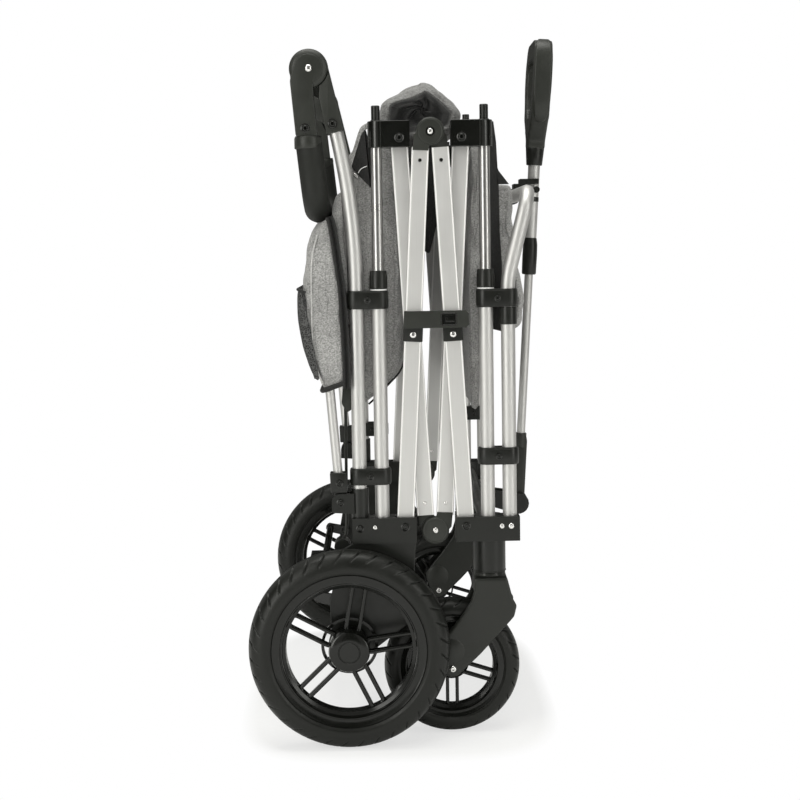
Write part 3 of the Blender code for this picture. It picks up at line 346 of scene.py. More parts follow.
def piece(name, shapes, finish, body=None, cad=None, sharp=38.0, marks=None):
    """Joins shapes into one mesh, turned outwards and shaded by angle, on a body or for a CAD node."""
    points, uv = (np.concatenate([shape[part] for shape in shapes]) for part in (0, 3))
    faces, start = [], 0
    for shape in shapes:
        faces += (shape[1] + start).tolist() + [(cap + start).tolist() for cap in shape[2]]
        start += len(shape[0])
    mesh = bpy.data.meshes.new(name)
    mesh.from_pydata(points.tolist(), [], faces)
    loops = np.empty(len(mesh.loops), np.int32)
    mesh.loops.foreach_get("vertex_index", loops)
    layer = mesh.uv_layers.new(name="UVMap")
    layer.data.foreach_set("uv", uv[loops].astype(np.float32).ravel())
    if marks is not None:
        layer = mesh.attributes.new("lining", "FLOAT", "POINT")
        layer.data.foreach_set("value", marks.astype(np.float32))
    cleaned(mesh, 0.000002)
    mesh.set_sharp_from_angle(angle=math.radians(sharp))
    return placed(name, mesh, finish, body, cad)


def cleaned(mesh, within, flat=0.0):
    """Merges doubles, joins faces that lie flat within an angle, and turns all faces outwards."""
    bm = bmesh.new()
    bm.from_mesh(mesh)
    bmesh.ops.remove_doubles(bm, verts=bm.verts, dist=within)
    if flat:
        bmesh.ops.dissolve_limit(bm, angle_limit=math.radians(flat), verts=bm.verts, edges=bm.edges)
    bmesh.ops.recalc_face_normals(bm, faces=bm.faces)
    bm.to_mesh(mesh)
    bm.free()
    mesh.shade_smooth()


def placed(name, mesh, finish, body=None, cad=None):
    """Puts a mesh in the scene on a body, or in place of a CAD node on that node's body."""
    made = bpy.data.objects.new(name, mesh)
    bpy.context.scene.collection.objects.link(made)
    mesh.materials.clear()
    mesh.materials.append(FINISHES[finish][0])
    if cad:
        body = RIDES[cad]
    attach(made, body)
    if cad:
        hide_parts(cad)
    return made


def arc(centre, radius, start, end, count=12):
    """Points at equal angles, in degrees, on a circle."""
    angles = np.radians(np.linspace(start, end, count))
    return np.stack([centre[0] + radius * np.cos(angles), centre[1] + radius * np.sin(angles)], axis=1)


def circle(radius, count=32):
    """A closed circle of points, as a section."""
    return arc((0.0, 0.0), radius, 0.0, 360.0 * (1 - 1 / count), count)


def rectangle(left, right, low, high):
    """The four corners of a rectangle."""
    return [(left, low), (right, low), (right, high), (left, high)]


def rounded_box(width, height, radius, count=5):
    """A rectangle with round corners, as a section."""
    a, b = width / 2 - radius, height / 2 - radius
    corners = [((a, b), 0), ((-a, b), 90), ((-a, -b), 180), ((a, -b), 270)]
    return np.concatenate([arc(centre, radius, start, start + 90, count) for centre, start in corners])


def eased(outline, radius, count=5):
    """A closed outline, each corner replaced by the quadratic curve between points at a radius from it."""
    points = np.asarray(outline, float)
    before, after = np.roll(points, 1, axis=0) - points, np.roll(points, -1, axis=0) - points
    room = np.minimum(np.linalg.norm(before, axis=1), np.linalg.norm(after, axis=1))
    reach = np.minimum(radius, 0.45 * room)[:, None]
    start, end = points + unit(before) * reach, points + unit(after) * reach
    t = np.linspace(0.0, 1.0, count)[None, :, None]
    curve = (1 - t) ** 2 * start[:, None] + 2 * t * (1 - t) * points[:, None] + t**2 * end[:, None]
    return curve.reshape(-1, 2)


def flowing(points, per=8, closed=True):
    """A Catmull-Rom curve through points: each span is the cubic of its four nearest points."""
    points = np.asarray(points, float)
    if closed:
        before, start, end, after = (np.roll(points, shift, axis=0) for shift in (1, 0, -1, -2))
    else:
        padded = np.concatenate([2 * points[:1] - points[1:2], points, 2 * points[-1:] - points[-2:-1]])
        before, start, end, after = padded[:-3], padded[1:-2], padded[2:-1], padded[3:]
    t = np.linspace(0.0, 1.0, per, endpoint=False)[None, :, None]
    before, start, end, after = (each[:, None] for each in (before, start, end, after))
    curve = 0.5 * (2 * start + (end - before) * t + (2 * before - 5 * start + 4 * end - after) * t**2)
    curve = curve + 0.5 * (3 * start - before - 3 * end + after) * t**3
    curve = curve.reshape(-1, points.shape[1])
    return curve if closed else np.concatenate([curve, points[-1:]])


def side_line(y, points, per=6):
    """A flowing line through X and Z points, in millimetres, at one Y."""
    return flowing(np.insert(mm(*points), 1, y, axis=1), per, closed=False)


def mirrored(points, y):
    """A line through X and Z points at the right, and back through them at the left."""
    return [(x, -y, z) for x, z in points] + [(x, y, z) for x, z in reversed(points)]


def inset(outline, distance):
    """The outline moved inwards along the mean of its two neighbouring edges' normals."""
    ahead = unit(np.roll(outline, -1, axis=0) - outline)
    behind = unit(outline - np.roll(outline, 1, axis=0))
    turn = turning(outline)
    normal = unit(ahead + behind)[:, ::-1] * np.array([-turn, turn])
    corner = np.clip(np.abs(np.sum(unit(ahead + behind) * ahead, axis=1)), 0.5, 1.0)
    return outline + normal * (distance / corner)[:, None]


def plate(outline, low, high, edge=0.0008, plane="XZ", edge_low=None):
    """A flat outline between two levels, rims quarter round: inset edge*(1-sin t), level edge*(1-cos t)."""
    outline = np.asarray(outline, float)
    edge_low = edge if edge_low is None else edge_low
    t = np.linspace(0.0, math.pi / 2, 4)
    rows = [(edge_low * (1 - math.sin(a)), min(low, high) + edge_low * (1 - math.cos(a))) for a in t]
    rows += [(edge * (1 - math.sin(a)), max(low, high) - edge * (1 - math.cos(a))) for a in t[::-1]]
    axis = 1 if plane == "XZ" else 2
    layers = [np.insert(inset(outline, distance), axis, level, axis=1) for distance, level in rows]
    return grid(np.array(layers), around=True, caps=True)


def moved(shape, matrix):
    """The shape carried by a 4 by 4 matrix."""
    turn = np.array(matrix)
    return shape[0] @ turn[:3, :3].T + turn[:3, 3], *shape[1:]


def carried(path, section, side, up):
    """A section's points at each place of a path, set out along two directions."""
    return path[:, None] + section[None, :, :1] * side[:, None] + section[None, :, 1:] * up[:, None]


def sweep(path, section, ref=ACROSS, edge=0.0, closed=False):
    """A section along a path: side is tangent x ref, up is side x tangent, and edge draws in both ends."""
    path = np.asarray(path, float)
    if closed:
        tangent = unit(np.roll(path, -1, axis=0) - np.roll(path, 1, axis=0))
    else:
        tangent = unit(np.gradient(path, axis=0))
    side = unit(np.cross(tangent, np.asarray(ref, float)))
    rows = carried(path, section, side, np.cross(side, tangent))
    if closed:
        return grid(rows, around=True, along=True)
    if edge:
        reach = np.abs(section).max()
        shrink = (reach - edge) / reach
        first = path[:1, None] + (rows[:1] - path[:1, None]) * shrink
        last = path[-1:, None] + (rows[-1:] - path[-1:, None]) * shrink
        rows[0] += tangent[0] * edge
        rows[-1] -= tangent[-1] * edge
        rows = np.concatenate([first, rows, last])
    return grid(rows, around=True, caps=True)


def strip(path, section, side):
    """A section carried along a path, its second way a fixed direction less its part along the path."""
    tangent = unit(np.gradient(path, axis=0))
    side = np.asarray(side, float)
    way = unit(side - tangent * (tangent @ side)[:, None])
    return grid(carried(path, section, np.cross(tangent, way), way), around=True, caps=True)


def pipe(path, radius):
    """A round tube on a path that turns in more than one plane: its side starts level and is carried along.
    Each row's side is the last one less its part along the new tangent."""
    tangent = unit(np.gradient(path, axis=0))
    side = np.empty_like(path)
    side[0] = unit(np.cross(tangent[0], (1.0, 0.0, 0.0)))
    for row in range(1, len(path)):
        side[row] = unit(side[row - 1] - (side[row - 1] @ tangent[row]) * tangent[row])
    return grid(carried(path, circle(radius, 40), side, np.cross(side, tangent)), around=True, caps=True)


def bent(corners, radii, count):
    """A line through corners, each inner one replaced by an arc of its radius, tangent to both sides."""
    corners = np.asarray(corners, float)
    path = [corners[:1]]
    for before, corner, after, radius in zip(corners, corners[1:], corners[2:], radii):
        back, on = unit(before - corner), unit(after - corner)
        half = math.acos(float(np.clip(back @ on, -1.0, 1.0))) / 2
        middle = corner + unit(back + on) * radius / math.sin(half)
        first = (corner + back * radius / math.tan(half) - middle) / radius
        angles = np.linspace(0.0, math.pi - 2 * half, count)[:, None]
        path.append(middle + radius * (np.cos(angles) * first - np.sin(angles) * back))
    return np.concatenate([*path, corners[-1:]])


def revolve(profile, centre, axis, steps, closed=False):
    """(radius, height) pairs turned about the line through centre along axis."""
    profile = np.asarray(profile, float)
    axis = unit(np.asarray(axis, float))
    other = np.array([0.0, 0.0, 1.0]) if abs(axis[2]) < 0.9 else np.array([1.0, 0.0, 0.0])
    first = unit(np.cross(axis, other))
    second = np.cross(axis, first)
    angles = np.linspace(0.0, 2 * math.pi, steps, endpoint=False)
    circuit = np.cos(angles)[:, None] * first + np.sin(angles)[:, None] * second
    rows = np.asarray(centre) + profile[:, :1, None] * circuit[None] + (profile[:, 1:] * axis)[:, None]
    return grid(rows, around=True, along=closed)


def ring(profile, centre, axis, steps=48):
    """A closed profile of (radius, height) pairs turned about an axis, with a hole through it."""
    return revolve(profile, centre, axis, steps, closed=True)


def rod(start, end, radius, edge=0.0006, steps=40):
    """A round bar between two points with its rims drawn in by edge."""
    start, end = np.asarray(start, float), np.asarray(end, float)
    length = float(np.linalg.norm(end - start))
    profile = [
        (0, 0), (radius - edge, 0), (radius, edge), (radius, length - edge), (radius - edge, length),
        (0, length),
    ]
    return revolve(profile, start, end - start, steps)


def button_head(centre, axis, radius, high=0.5):
    """A socket screw's round head: domed rim, round recess, and a skirt that goes into the surface."""
    profile = [(0, 0.02), (0.4, 0.02), (0.44, high), (0.62, high), (0.86, 0.72 * high), (1, 0.18 * high)]
    return revolve(radius * np.array([*profile, (1, -0.25), (0, -0.25)]), centre, axis, 28)


def dome_head(centre, axis, radius):
    """A plated screw's dome with a shallow round drive."""
    profile = [
        (0, 0.36), (0.3, 0.37), (0.36, 0.42), (0.6, 0.378), (0.88, 0.231), (1, 0), (1, -0.25), (0, -0.25)
    ]
    return revolve(radius * np.array(profile), centre, axis, 28)


def seated(centre, axis, radius, high, wide):
    """A socket screw's head in the raised ring that moulded seats have."""
    seat = [(1.02, -0.2), (1.02, 0.16), (1.15, 0.22), (wide, 0.12), (wide + 0.1, -0.2)]
    return [button_head(centre, axis, radius, high), ring(radius * np.array(seat), centre, axis, 32)]


def ripples(points, length, seed, count=9):
    """A height from a mean of sine waves, each with its own direction, wavelength near length, and phase."""
    rng = np.random.default_rng(seed)
    direction = unit(rng.normal(size=(count, 3)))
    lengths = length * rng.uniform(0.55, 1.7, count)
    phase = rng.uniform(0.0, 2 * math.pi, count)
    waves = np.sin(points @ (direction / lengths[:, None]).T * 2 * math.pi + phase)
    return waves.sum(axis=-1) / math.sqrt(count)


def from_cad(node, finish, edge):
    """A merged copy of a CAD node with its flat faces joined and its edges rounded, in the node's place."""
    mesh = frame["nodes"][node].data.copy()
    cleaned(mesh, 0.00002, 2.0)
    made = placed(node + "_body", mesh, finish, cad=node)
    if edge:
        bevel = made.modifiers.new("edges", "BEVEL")
        bevel.width, bevel.segments = edge, 2
        bevel.limit_method, bevel.angle_limit = "ANGLE", math.radians(28.0)
        bevel.harden_normals, bevel.use_clamp_overlap = False, True
        made.modifiers.new("normals", "WEIGHTED_NORMAL").keep_sharp = False
    return made


def softened(node, finish, rounds):
    """A copy of a CAD node remeshed in small cubes and smoothed, so that its joins flow into each other."""
    made = from_cad(node, finish, 0.0)
    remesh = made.modifiers.new("cells", "REMESH")
    remesh.mode, remesh.voxel_size = "VOXEL", 0.0016 * 1.0
    smooth = made.modifiers.new("flow", "SMOOTH")
    smooth.factor, smooth.iterations = 0.6, rounds
    graph = bpy.context.evaluated_depsgraph_get()
    mesh = bpy.data.meshes.new_from_object(made.evaluated_get(graph))
    made.modifiers.clear()
    made.data = mesh
    mesh.materials.clear()
    mesh.materials.append(FINISHES[finish][0])
    mesh.shade_smooth()


# Camera and studio
def camera():
    """The view from the photograph's place."""
    pitch, yaw, roll = math.radians(5.96), math.radians(0.78), math.radians(-0.97)
    ahead = np.array([math.sin(yaw) * math.cos(pitch), math.cos(yaw) * math.cos(pitch), -math.sin(pitch)])
    right = np.array([math.cos(yaw), -math.sin(yaw), 0.0])
    up = np.cross(right, ahead)
    across = math.cos(roll) * right + math.sin(roll) * up
    upward = -math.sin(roll) * right + math.cos(roll) * up
    data = bpy.data.cameras.new("view")
    data.lens, data.sensor_width, data.clip_start, data.clip_end = 67.5, 36.0, 0.05, 60.0
    made = bpy.data.objects.new("view", data)
    bpy.context.scene.collection.objects.link(made)
    turn = Matrix((across.tolist(), upward.tolist(), (-ahead).tolist())).transposed()
    made.matrix_world = Matrix.Translation((-0.0412, -2.375, 0.7065)) @ turn.to_4x4()
    bpy.context.scene.camera = made


def lamp(name, place, size, power, glossy=True):
    """A soft rectangular lamp that faces the wagon's middle."""
    data = bpy.data.lights.new(name, "AREA")
    data.shape, data.size, data.size_y, data.energy = "RECTANGLE", size[0], size[1], power
    data.color = LIGHT_TINT
    made = bpy.data.objects.new(name, data)
    bpy.context.scene.collection.objects.link(made)
    made.visible_glossy = glossy
    way = Vector(place) - Vector((0.0, 0.0, 0.5))
    made.matrix_world = Matrix.Translation(place) @ way.to_track_quat("Z", "Y").to_matrix().to_4x4()


def staged(name, points, faces, material):
    """A plain mesh that belongs to the studio."""
    mesh = bpy.data.meshes.new(name)
    mesh.from_pydata(points, [], faces)
    mesh.materials.append(material)
    made = bpy.data.objects.new(name, mesh)
    bpy.context.scene.collection.objects.link(made)
    return made


def floor_paper():
    """Pale paper that fades to white outside a rounded patch, (x / 0.24)^4 + (y / 0.37)^4 = 1."""
    made = bpy.data.materials.new("floor_paper")
    made.use_nodes = True
    made.node_tree.nodes.clear()
    wires = Wiring(made.node_tree)
    place = wires.add("TexCoord").outputs["Object"]
    from_middle = wires.add("VectorMath", {0: place, 1: (0.02, 0.02, 0.0)}, operation="ADD").outputs[0]
    offset = wires.add("SeparateXYZ", {0: from_middle}).outputs
    along, across = (
        wires.math("POWER", wires.math("DIVIDE", wires.math("ABSOLUTE", offset[way]), half), 4.0)
        for way, half in enumerate((0.24, 0.37))
    )
    fade = wires.between(wires.math("ADD", along, across), 0.1, 1.0)
    fibre = wires.between(wires.noise(place, 420.0), 0.3, 0.7)
    diffuse = wires.add("BsdfDiffuse", {"Color": wires.blend(fibre, grey(0.9), grey(0.93))})
    white = wires.add("Emission", {"Color": grey(1.0), "Strength": 1.0})
    share = wires.math("MULTIPLY", wires.math("MAXIMUM", fade, 0.62), wires.seen())
    mixed = wires.add("MixShader", {0: share, 1: diffuse.outputs[0], 2: white.outputs[0]})
    wires.add("OutputMaterial", {"Surface": mixed.outputs[0]})
    return made


def surround():
    """A white world for the camera, and a dimmer tinted one for the light."""
    world = bpy.data.worlds.new("surround")
    bpy.context.scene.world = world
    world.use_nodes = True
    world.node_tree.nodes.clear()
    wires = Wiring(world.node_tree)
    plain = wires.add("Background", {"Color": (*LIGHT_TINT, 1.0), "Strength": 0.4})
    white = wires.add("Background", {"Color": grey(1.0), "Strength": 1.0})
    mixed = wires.add("MixShader", {0: wires.seen(), 1: plain.outputs[0], 2: white.outputs[0]})
    wires.add("OutputWorld", {"Surface": mixed.outputs[0]})


def studio():
    """A pale floor that fades to white, a white surround, four soft lamps and dark cards for the metal."""
    aside, ahead = straight((-6.0, -6.0, 0.0), (-6.0, 6.0, 0.0), 3), straight((0, 0, 0), (12.0, 0, 0), 3)
    points, quads, _, _ = grid(aside[:, None] + ahead[None])
    staged("floor", points.tolist(), quads.tolist(), floor_paper())
    surround()
    lamp("left_strip", (-1.75, -2.05, 1.15), (0.75, 2.3), 25.0)
    lamp("right_strip", (1.95, -1.95, 1.15), (0.6, 2.3), 15.0)
    lamp("top", (-0.2, -0.3, 3.0), (2.2, 1.6), 50.0)
    lamp("front", (-0.04, -2.5, 0.75), (0.5, 0.5), 13.0, glossy=False)
    dark, wires, shader, place = started("dark_card", {"Roughness": 1.0})
    wires.fill(shader, {"Base Color": wires.blend(wires.noise(place, 90.0), grey(0.02), grey(0.04))})
    away, high = 2.6, (0.0, 0.0, 2.4)
    cards = (("front", 270.0, 0.55), ("left", 192.0, 0.8), ("right", 348.0, 0.8), ("back", 90.0, 1.1))
    for name, angle, half in cards:
        facing = np.array([math.cos(math.radians(angle)), math.sin(math.radians(angle)), 0.0])
        spot, way = facing * away, np.array([-facing[1], facing[0], 0.0]) * half
        corners = [spot - way, spot + way, spot + way + high, spot - way + high]
        card = staged("card_" + name, [corner.tolist() for corner in corners], [(0, 1, 2, 3)], dark)
        card.visible_camera = card.visible_diffuse = card.visible_shadow = card.visible_transmission = False


# Scissor bars
def along_bar(sign_x, sign_z, pivot):
    """Returns a function from lengths along and across a bar to X and Z in its rest pose."""
    sine, cosine = math.sin(TILT), math.cos(TILT)

    def place(points):
        points = np.asarray(points, float)
        x = pivot[0] + sign_x * (points[..., 0] * sine + points[..., 1] * cosine)
        z = pivot[1] + sign_z * (points[..., 0] * cosine - points[..., 1] * sine)
        return np.stack([x, z], axis=-1)

    return place


def bar_section(wide, thick):
    """A bar's section, its four corners broken in three steps."""
    steps = ((0.0016, 0.0), (0.0009, 0.0006), (0.0001, 0.0026), (0.0, 0.0034))
    half = [(wide, 0.0)] + [(wide - inward, thick - down) for down, inward in steps]
    half += [(-u, v) for u, v in reversed(half)]
    return np.array(half + [(-u, -v) for u, v in half[1:-1]])


def bar(name, side, sign, ends, layer, disc_outside):
    """A flat aluminium bar with thin rods of lighter metal along its four edges as a painted highlight,
    moulded hinge leaf and rivets.
    """
    place, node = along_bar(*ends), f"{name}_{side}"
    body, middle = RIDES[node], (layer[0] + layer[1]) / 2
    tail, end = -0.0115, KNEE_RUN - 0.0225
    wide, thick = 0.012, (layer[1] - layer[0]) / 2 - 0.0001

    def line(start):
        """The bar's middle line, from a length along it to the hinge leaf."""
        return np.insert(place([(start, 0.0), (end, 0.0)]), 1, sign * middle, axis=1)

    piece(node + "_bar", [sweep(line(tail), bar_section(wide, thick), edge=0.0004)], "bar", cad=node)
    # Rods of lighter metal along the four edges paint the highlight that the chamfers catch.
    edge = line(0.015 if name.endswith("foot_bar") else tail)
    spots = [(u * (wide - 0.0014), v * (thick - 0.0009)) for u in (-1, 1) for v in (-1, 1)]
    piece(node + "_edge_highlights", [sweep(edge, circle(0.0011, 10) + spot) for spot in spots], "corner", body)
    disc = (middle + 0.0003, layer[1] + 0.0012) if disc_outside else (layer[0] - 0.0012, middle - 0.0003)
    face, out = (disc[1], 1.0) if disc_outside else (disc[0], -1.0)
    root = end - 0.004
    outline = [(end + 0.003, 0.0124), (root, 0.0112), (root, -0.0108), (KNEE_RUN - 0.006, -0.01)]
    outline = np.concatenate([outline, arc((KNEE_RUN, HINGE_OFFSET), 0.0195, -97, 150, 40)])
    lip = mm((15.8, -1), (15.8, 0.2), (16.6, 0.6), (17.8, 0.6), (18.6, -0.2), (18.6, -1))
    x, z = place((KNEE_RUN, HINGE_OFFSET))
    sleeve = place(rectangle(root - 0.02, root + 0.001, 0.0109, -0.0109))
    shapes = [plate(place(outline), sign * disc[0], sign * disc[1], 0.0011)]
    shapes.append(ring(lip, (x, sign * face, z), (0.0, sign * out, 0.0), 56))
    shapes.append(plate(sleeve, sign * (layer[0] + 0.001), sign * (layer[1] - 0.001)))
    piece(node + "_leaf", shapes, "leaf", body)
    if side == "right" and layer == OUTER_LAYER:
        block = eased(place(rectangle(0.262, 0.3045, -0.0137, 0.0137)), 0.0015, 3)
        block = plate(block, sign * (layer[1] - 0.0085), sign * (layer[1] + 0.0032), 0.001)
        piece(node + "_latch_mount", [block], "matt", body)
    x, z = place((KNEE_RUN - 0.04, 0.0))
    heads = [
        button_head((x, sign * layer[half], z), (0, sign * (2 * half - 1), 0), 0.0026, 0.35)
        for half in (1, 0)
    ]
    piece(node + "_rivet", heads, "black_screw" if ends[1] > 0 else "screw", body)


def scissors(side, sign):
    """One side's four crossed bars, with the bolts at their middles and knees."""
    out, ends = (0, sign, 0), (("rear", REAR_PIVOT_X, 1), ("front", FRONT_PIVOT_X, -1))
    for end, x, way in ends:
        bar(f"{end}_foot_bar", side, sign, (way, 1, (x, FOOT_Z)), OUTER_LAYER, way > 0)
        bar(f"{end}_top_bar", side, sign, (way, -1, (x, TOP_Z)), INNER_LAYER, way < 0)
    for end, x, way in ends:
        x, z = along_bar(way, 1, (x, FOOT_Z))((BAR_HALF, 0.0))
        face = sign * (OUTER_LAYER[1] + (0.0032 if side == "right" else -0.0002))
        bolt = dome_head((x, face, z), out, 0.005)
        piece(f"{end}_cross_bolt_{side}", [bolt], "screw", f"{end}_foot_bar_{side}")
    x, z = along_bar(1, 1, (REAR_PIVOT_X, FOOT_Z))((KNEE_RUN, HINGE_OFFSET))
    face = (x, sign * (OUTER_LAYER[1] + 0.0014), z)
    piece(f"top_knee_bolt_{side}", [dome_head(face, out, 0.0044)], "screw", f"rear_foot_bar_{side}")
    washer = mm((4.6, -1), (4.6, 0.4), (6.2, 0.4), (6.6, -1))
    piece(f"top_knee_washer_{side}", [ring(washer, face, out, 36)], "gloss", f"rear_foot_bar_{side}")
    x, z = along_bar(1, -1, (REAR_PIVOT_X, TOP_Z))((KNEE_RUN, HINGE_OFFSET))
    bolt = dome_head((x, sign * (INNER_LAYER[1] + 0.0014), z), out, 0.0044)
    piece(f"low_knee_bolt_{side}", [bolt], "screw", f"front_top_bar_{side}")


# Posts, brackets and clamps
def post(node, x, sign):
    """A post's tube, open at both ends."""
    wall = mm((8.8, 297.5), (10, 297.5), (10, 653.5), (8.8, 653.5))
    piece(node + "_tube", [ring(wall, (x, sign * SIDE_Y, 0.0), UP, 56)], "tube", cad=node)


def slider(node, post_x, pivot_x, sign):
    """The bracket on its sliding tube: round at the post, square at the bar, open below for the bar's end."""
    way = 1.0 if pivot_x > post_x else -1.0
    y, body, half = sign * SIDE_Y, RIDES[node], 0.016
    low, high = BRACKET_Z
    front, inner = pivot_x + way * 0.0145, post_x + way * 0.0145
    turn = arc((post_x - way * 0.0115 + way * half, y), half, 90 * way, 90 * way + 180, 24)
    near, far = (front, y - way * half), (front, y + way * half)
    slot = sorted((sign * (INNER_LAYER[0] - 0.0007), sign * (INNER_LAYER[1] + 0.0007)), reverse=way < 0)
    channel = [near, (front, slot[0]), (inner, slot[0]), (inner, slot[1]), (front, slot[1]), far]
    roof = plate(np.concatenate([turn, [near, far]]), BRACKET_SLOT_Z, high, 0.0012, "XY", 0.0)
    walls = plate(np.concatenate([turn, channel]), low, BRACKET_SLOT_Z, 0.0, "XY", 0.0008)
    piece(node + "_bracket", [roof, walls], "gloss", cad=node)
    fold_x = post_x + way * 0.0065
    fold = rectangle(fold_x - 0.0007, fold_x + 0.0007, low + 0.001, high - 0.0015)
    fold = plate(fold, y + sign * (half - 0.001), y + sign * (half + 0.0006), 0.0004)
    piece(node + "_fold", [fold], "matt", body)
    tube = rod((post_x, y, 0.6), (post_x, y, low + 0.01), INNER_TUBE_R, 0.0008, 56)
    piece(node + "_tube", [tube], "inner_tube", body)
    stub = rod((post_x, y, high - 0.002), (post_x, y, high + 0.0215), 0.006, 0.001)
    collar = ring(mm((5.8, 0), (7.2, 0), (7.2, 1.6), (5.8, 2)), (post_x, y, high - 0.0002), UP, 40)
    piece(node + "_stub", [stub, collar], "matt", body)
    face = y + sign * half
    heads = seated((pivot_x, face, TOP_Z), (0, sign, 0), 0.0048, 0.5, 1.35)
    heads.append(button_head((pivot_x, y - sign * half, TOP_Z), (0, -sign, 0), 0.0048))
    spot = (post_x - way * 0.0082, face - sign * 0.0065, TOP_Z - 0.001)
    heads.append(button_head(spot, (-way * 0.8, sign * 0.6, 0), 0.0022))
    piece(node + "_screws", heads, "black_screw", body)


def clamp(node, xs, heights, sign, collar=False):
    """A moulded clamp round two tubes, with its screw, and the post's collar on a pale ring."""
    y, body = sign * SIDE_Y, RIDES[node]
    (left, right), (low, high) = sorted(xs), heights
    shapes = []
    for radius, inward, edge in ((0.013, 0.0, 0.001), (0.0136, 0.0022, 0.0006)):
        outline = [arc((right, y), radius, -90, 90, 24), arc((left, y), radius, 90, 270, 24)]
        shapes.append(plate(np.concatenate(outline), low + inward, high - inward, edge, "XY"))
    if collar:
        turned = [
            (7.9, 1.5), (11.8, 0), (12.5, 0.8), (12.5, 18.5), (11.9, 20), (11.9, 24.2), (11.2, 25.5),
            (8, 25.5),
        ]
        shapes.append(ring(mm(*turned), (xs[0], y, 0.6435), UP))
        pale = mm((10, 0), (11.7, 0), (11.7, 2), (10, 2))
        piece(node + "_ring", [ring(pale, (xs[0], y, 0.6416), UP)], "ring", body)
    piece(node + "_band", shapes, "matt", cad=node)
    x, z = (left + right) / 2, (low + high) / 2
    heads = seated((x, y + sign * 0.0134, z), (0, sign, 0), 0.0034, 0.4, 1.5)
    heads.append(button_head((x, y - sign * 0.0134, z), (0, -sign, 0), 0.0034, 0.4))
    piece(node + "_screw", heads, "black_screw", body)


# Wheels
def tyre(node, centre, radius, seat, width, blocks, rows):
    """A tyre by turn angle and way round its section: slanted grooves cut the shoulders, two the crown."""
    half, wall = width / 2, radius - seat
    side = [(0.0, 0.58), (0.07, 0.86), (0.26, 1.0), (0.48, 0.985), (0.68, 0.87), (0.85, 0.67), (0.96, 0.38)]
    profile = [(seat + share * wall, h) for share, h in side] + [(radius, 0.13)]
    profile += [(r, -h) for r, h in reversed(profile)]
    section = flowing(np.array(profile) * (1.0, half), 4)
    section[section[:, 0] < seat + 0.0012, 0] = seat
    turn = np.linspace(0.0, 2 * math.pi, rows, endpoint=False)[:, None]
    r, h = section[None, :, 0], section[None, :, 1]
    share = np.abs(h) / half
    slant = turn * blocks / (2 * math.pi) + np.sign(h) * 0.25 + (r - seat) / wall * 1.5
    groove = np.clip(1.5 - np.abs((slant % 1.0) - 0.5) / 0.04, 0.0, 1.0)
    zone = np.clip((r - seat - 0.56 * wall) / (0.1 * wall), 0.0, 1.0)
    zone = zone * np.clip((share - 0.22) / 0.12, 0.0, 1.0)
    crown = np.clip(1.0 - np.abs(share - 0.12) / 0.05, 0.0, 1.0) * (r > seat + 0.8 * wall)
    ridge = np.clip(1.0 - np.abs(r - seat - 0.2 * wall) / 0.0011, 0.0, 1.0) * 0.0007
    depth = 0.0019 * groove * zone + 0.0012 * crown - ridge
    inward = unit(np.stack([seat + wall * 0.5 - r, -h], axis=-1))
    r, h = r + depth * inward[..., 0], h + depth * inward[..., 1]
    x, z = centre[0] + r * np.cos(turn), centre[2] + r * np.sin(turn)
    points = np.stack(np.broadcast_arrays(x, centre[1] + h, z), axis=-1)
    piece(node + "_tread", [grid(points, around=True, along=True)], "rubber", cad=node, sharp=50.0)


def rim(node, centre, seat, opening, width, hub, spokes, start, sign, reach):
    """A rim: lipped barrel, stepped hub, and five closed spoke loops set out by turning one round."""
    out, half = (0.0, sign, 0.0), width / 2
    lip = ((-1, 0.7), (3, 0.8), (3, 0.88), (2, 0.915), (0.8, 0.9), (-0.4, 0.87))
    well = ((8.5, 0.85), (7.6, 0.88), (6.4, 0.88), (5.6, 0.83), (4.5, 0.55), (0, 0.42))
    barrel = [
        (r + over / 1000, -h * half) for r, steps in ((seat, lip), (opening, well)) for over, h in steps
    ]
    barrel += [(r, -h) for r, h in reversed(barrel)]
    high, low, aside = reach
    face = ((0, 0), (0.47, 0), (0.49, 0.7), (0.52, 0.7), (0.54, 0), (0.84, 0.4), (0.95, 2.2), (1, 6))
    cap = [(hub * share, high - drop / 1000) for share, drop in face]
    cap += [(hub, 0.0), (hub * 0.96, low + 0.001), (hub * 0.9, low), (0, low)]
    back, thin = hub * 1.32, hub * 0.07
    flange = rectangle(back - thin, back + thin, low + 0.002, low + 0.008)
    shapes = [ring(barrel, centre, out, 144), revolve(cap, centre, out, 64), ring(flange, centre, out, 72)]
    apart, slim, deep = spokes
    loop = eased(rectangle(hub * 0.86, opening + 0.003, -apart, apart), apart * 0.75, 7)
    one = sweep(np.insert(loop, 1, 0.0, axis=1), rounded_box(slim, deep, slim * 0.36, 4), closed=True)
    middle = Matrix.Translation((centre[0], centre[1] + sign * aside, centre[2]))
    turns = [-math.radians(start + 72.0 * step) for step in range(5)]
    shapes += [moved(one, middle @ Matrix.Rotation(turn, 4, "Y")) for turn in turns]
    piece(node + "_rim", shapes, "wheel", cad=node, sharp=34.0)


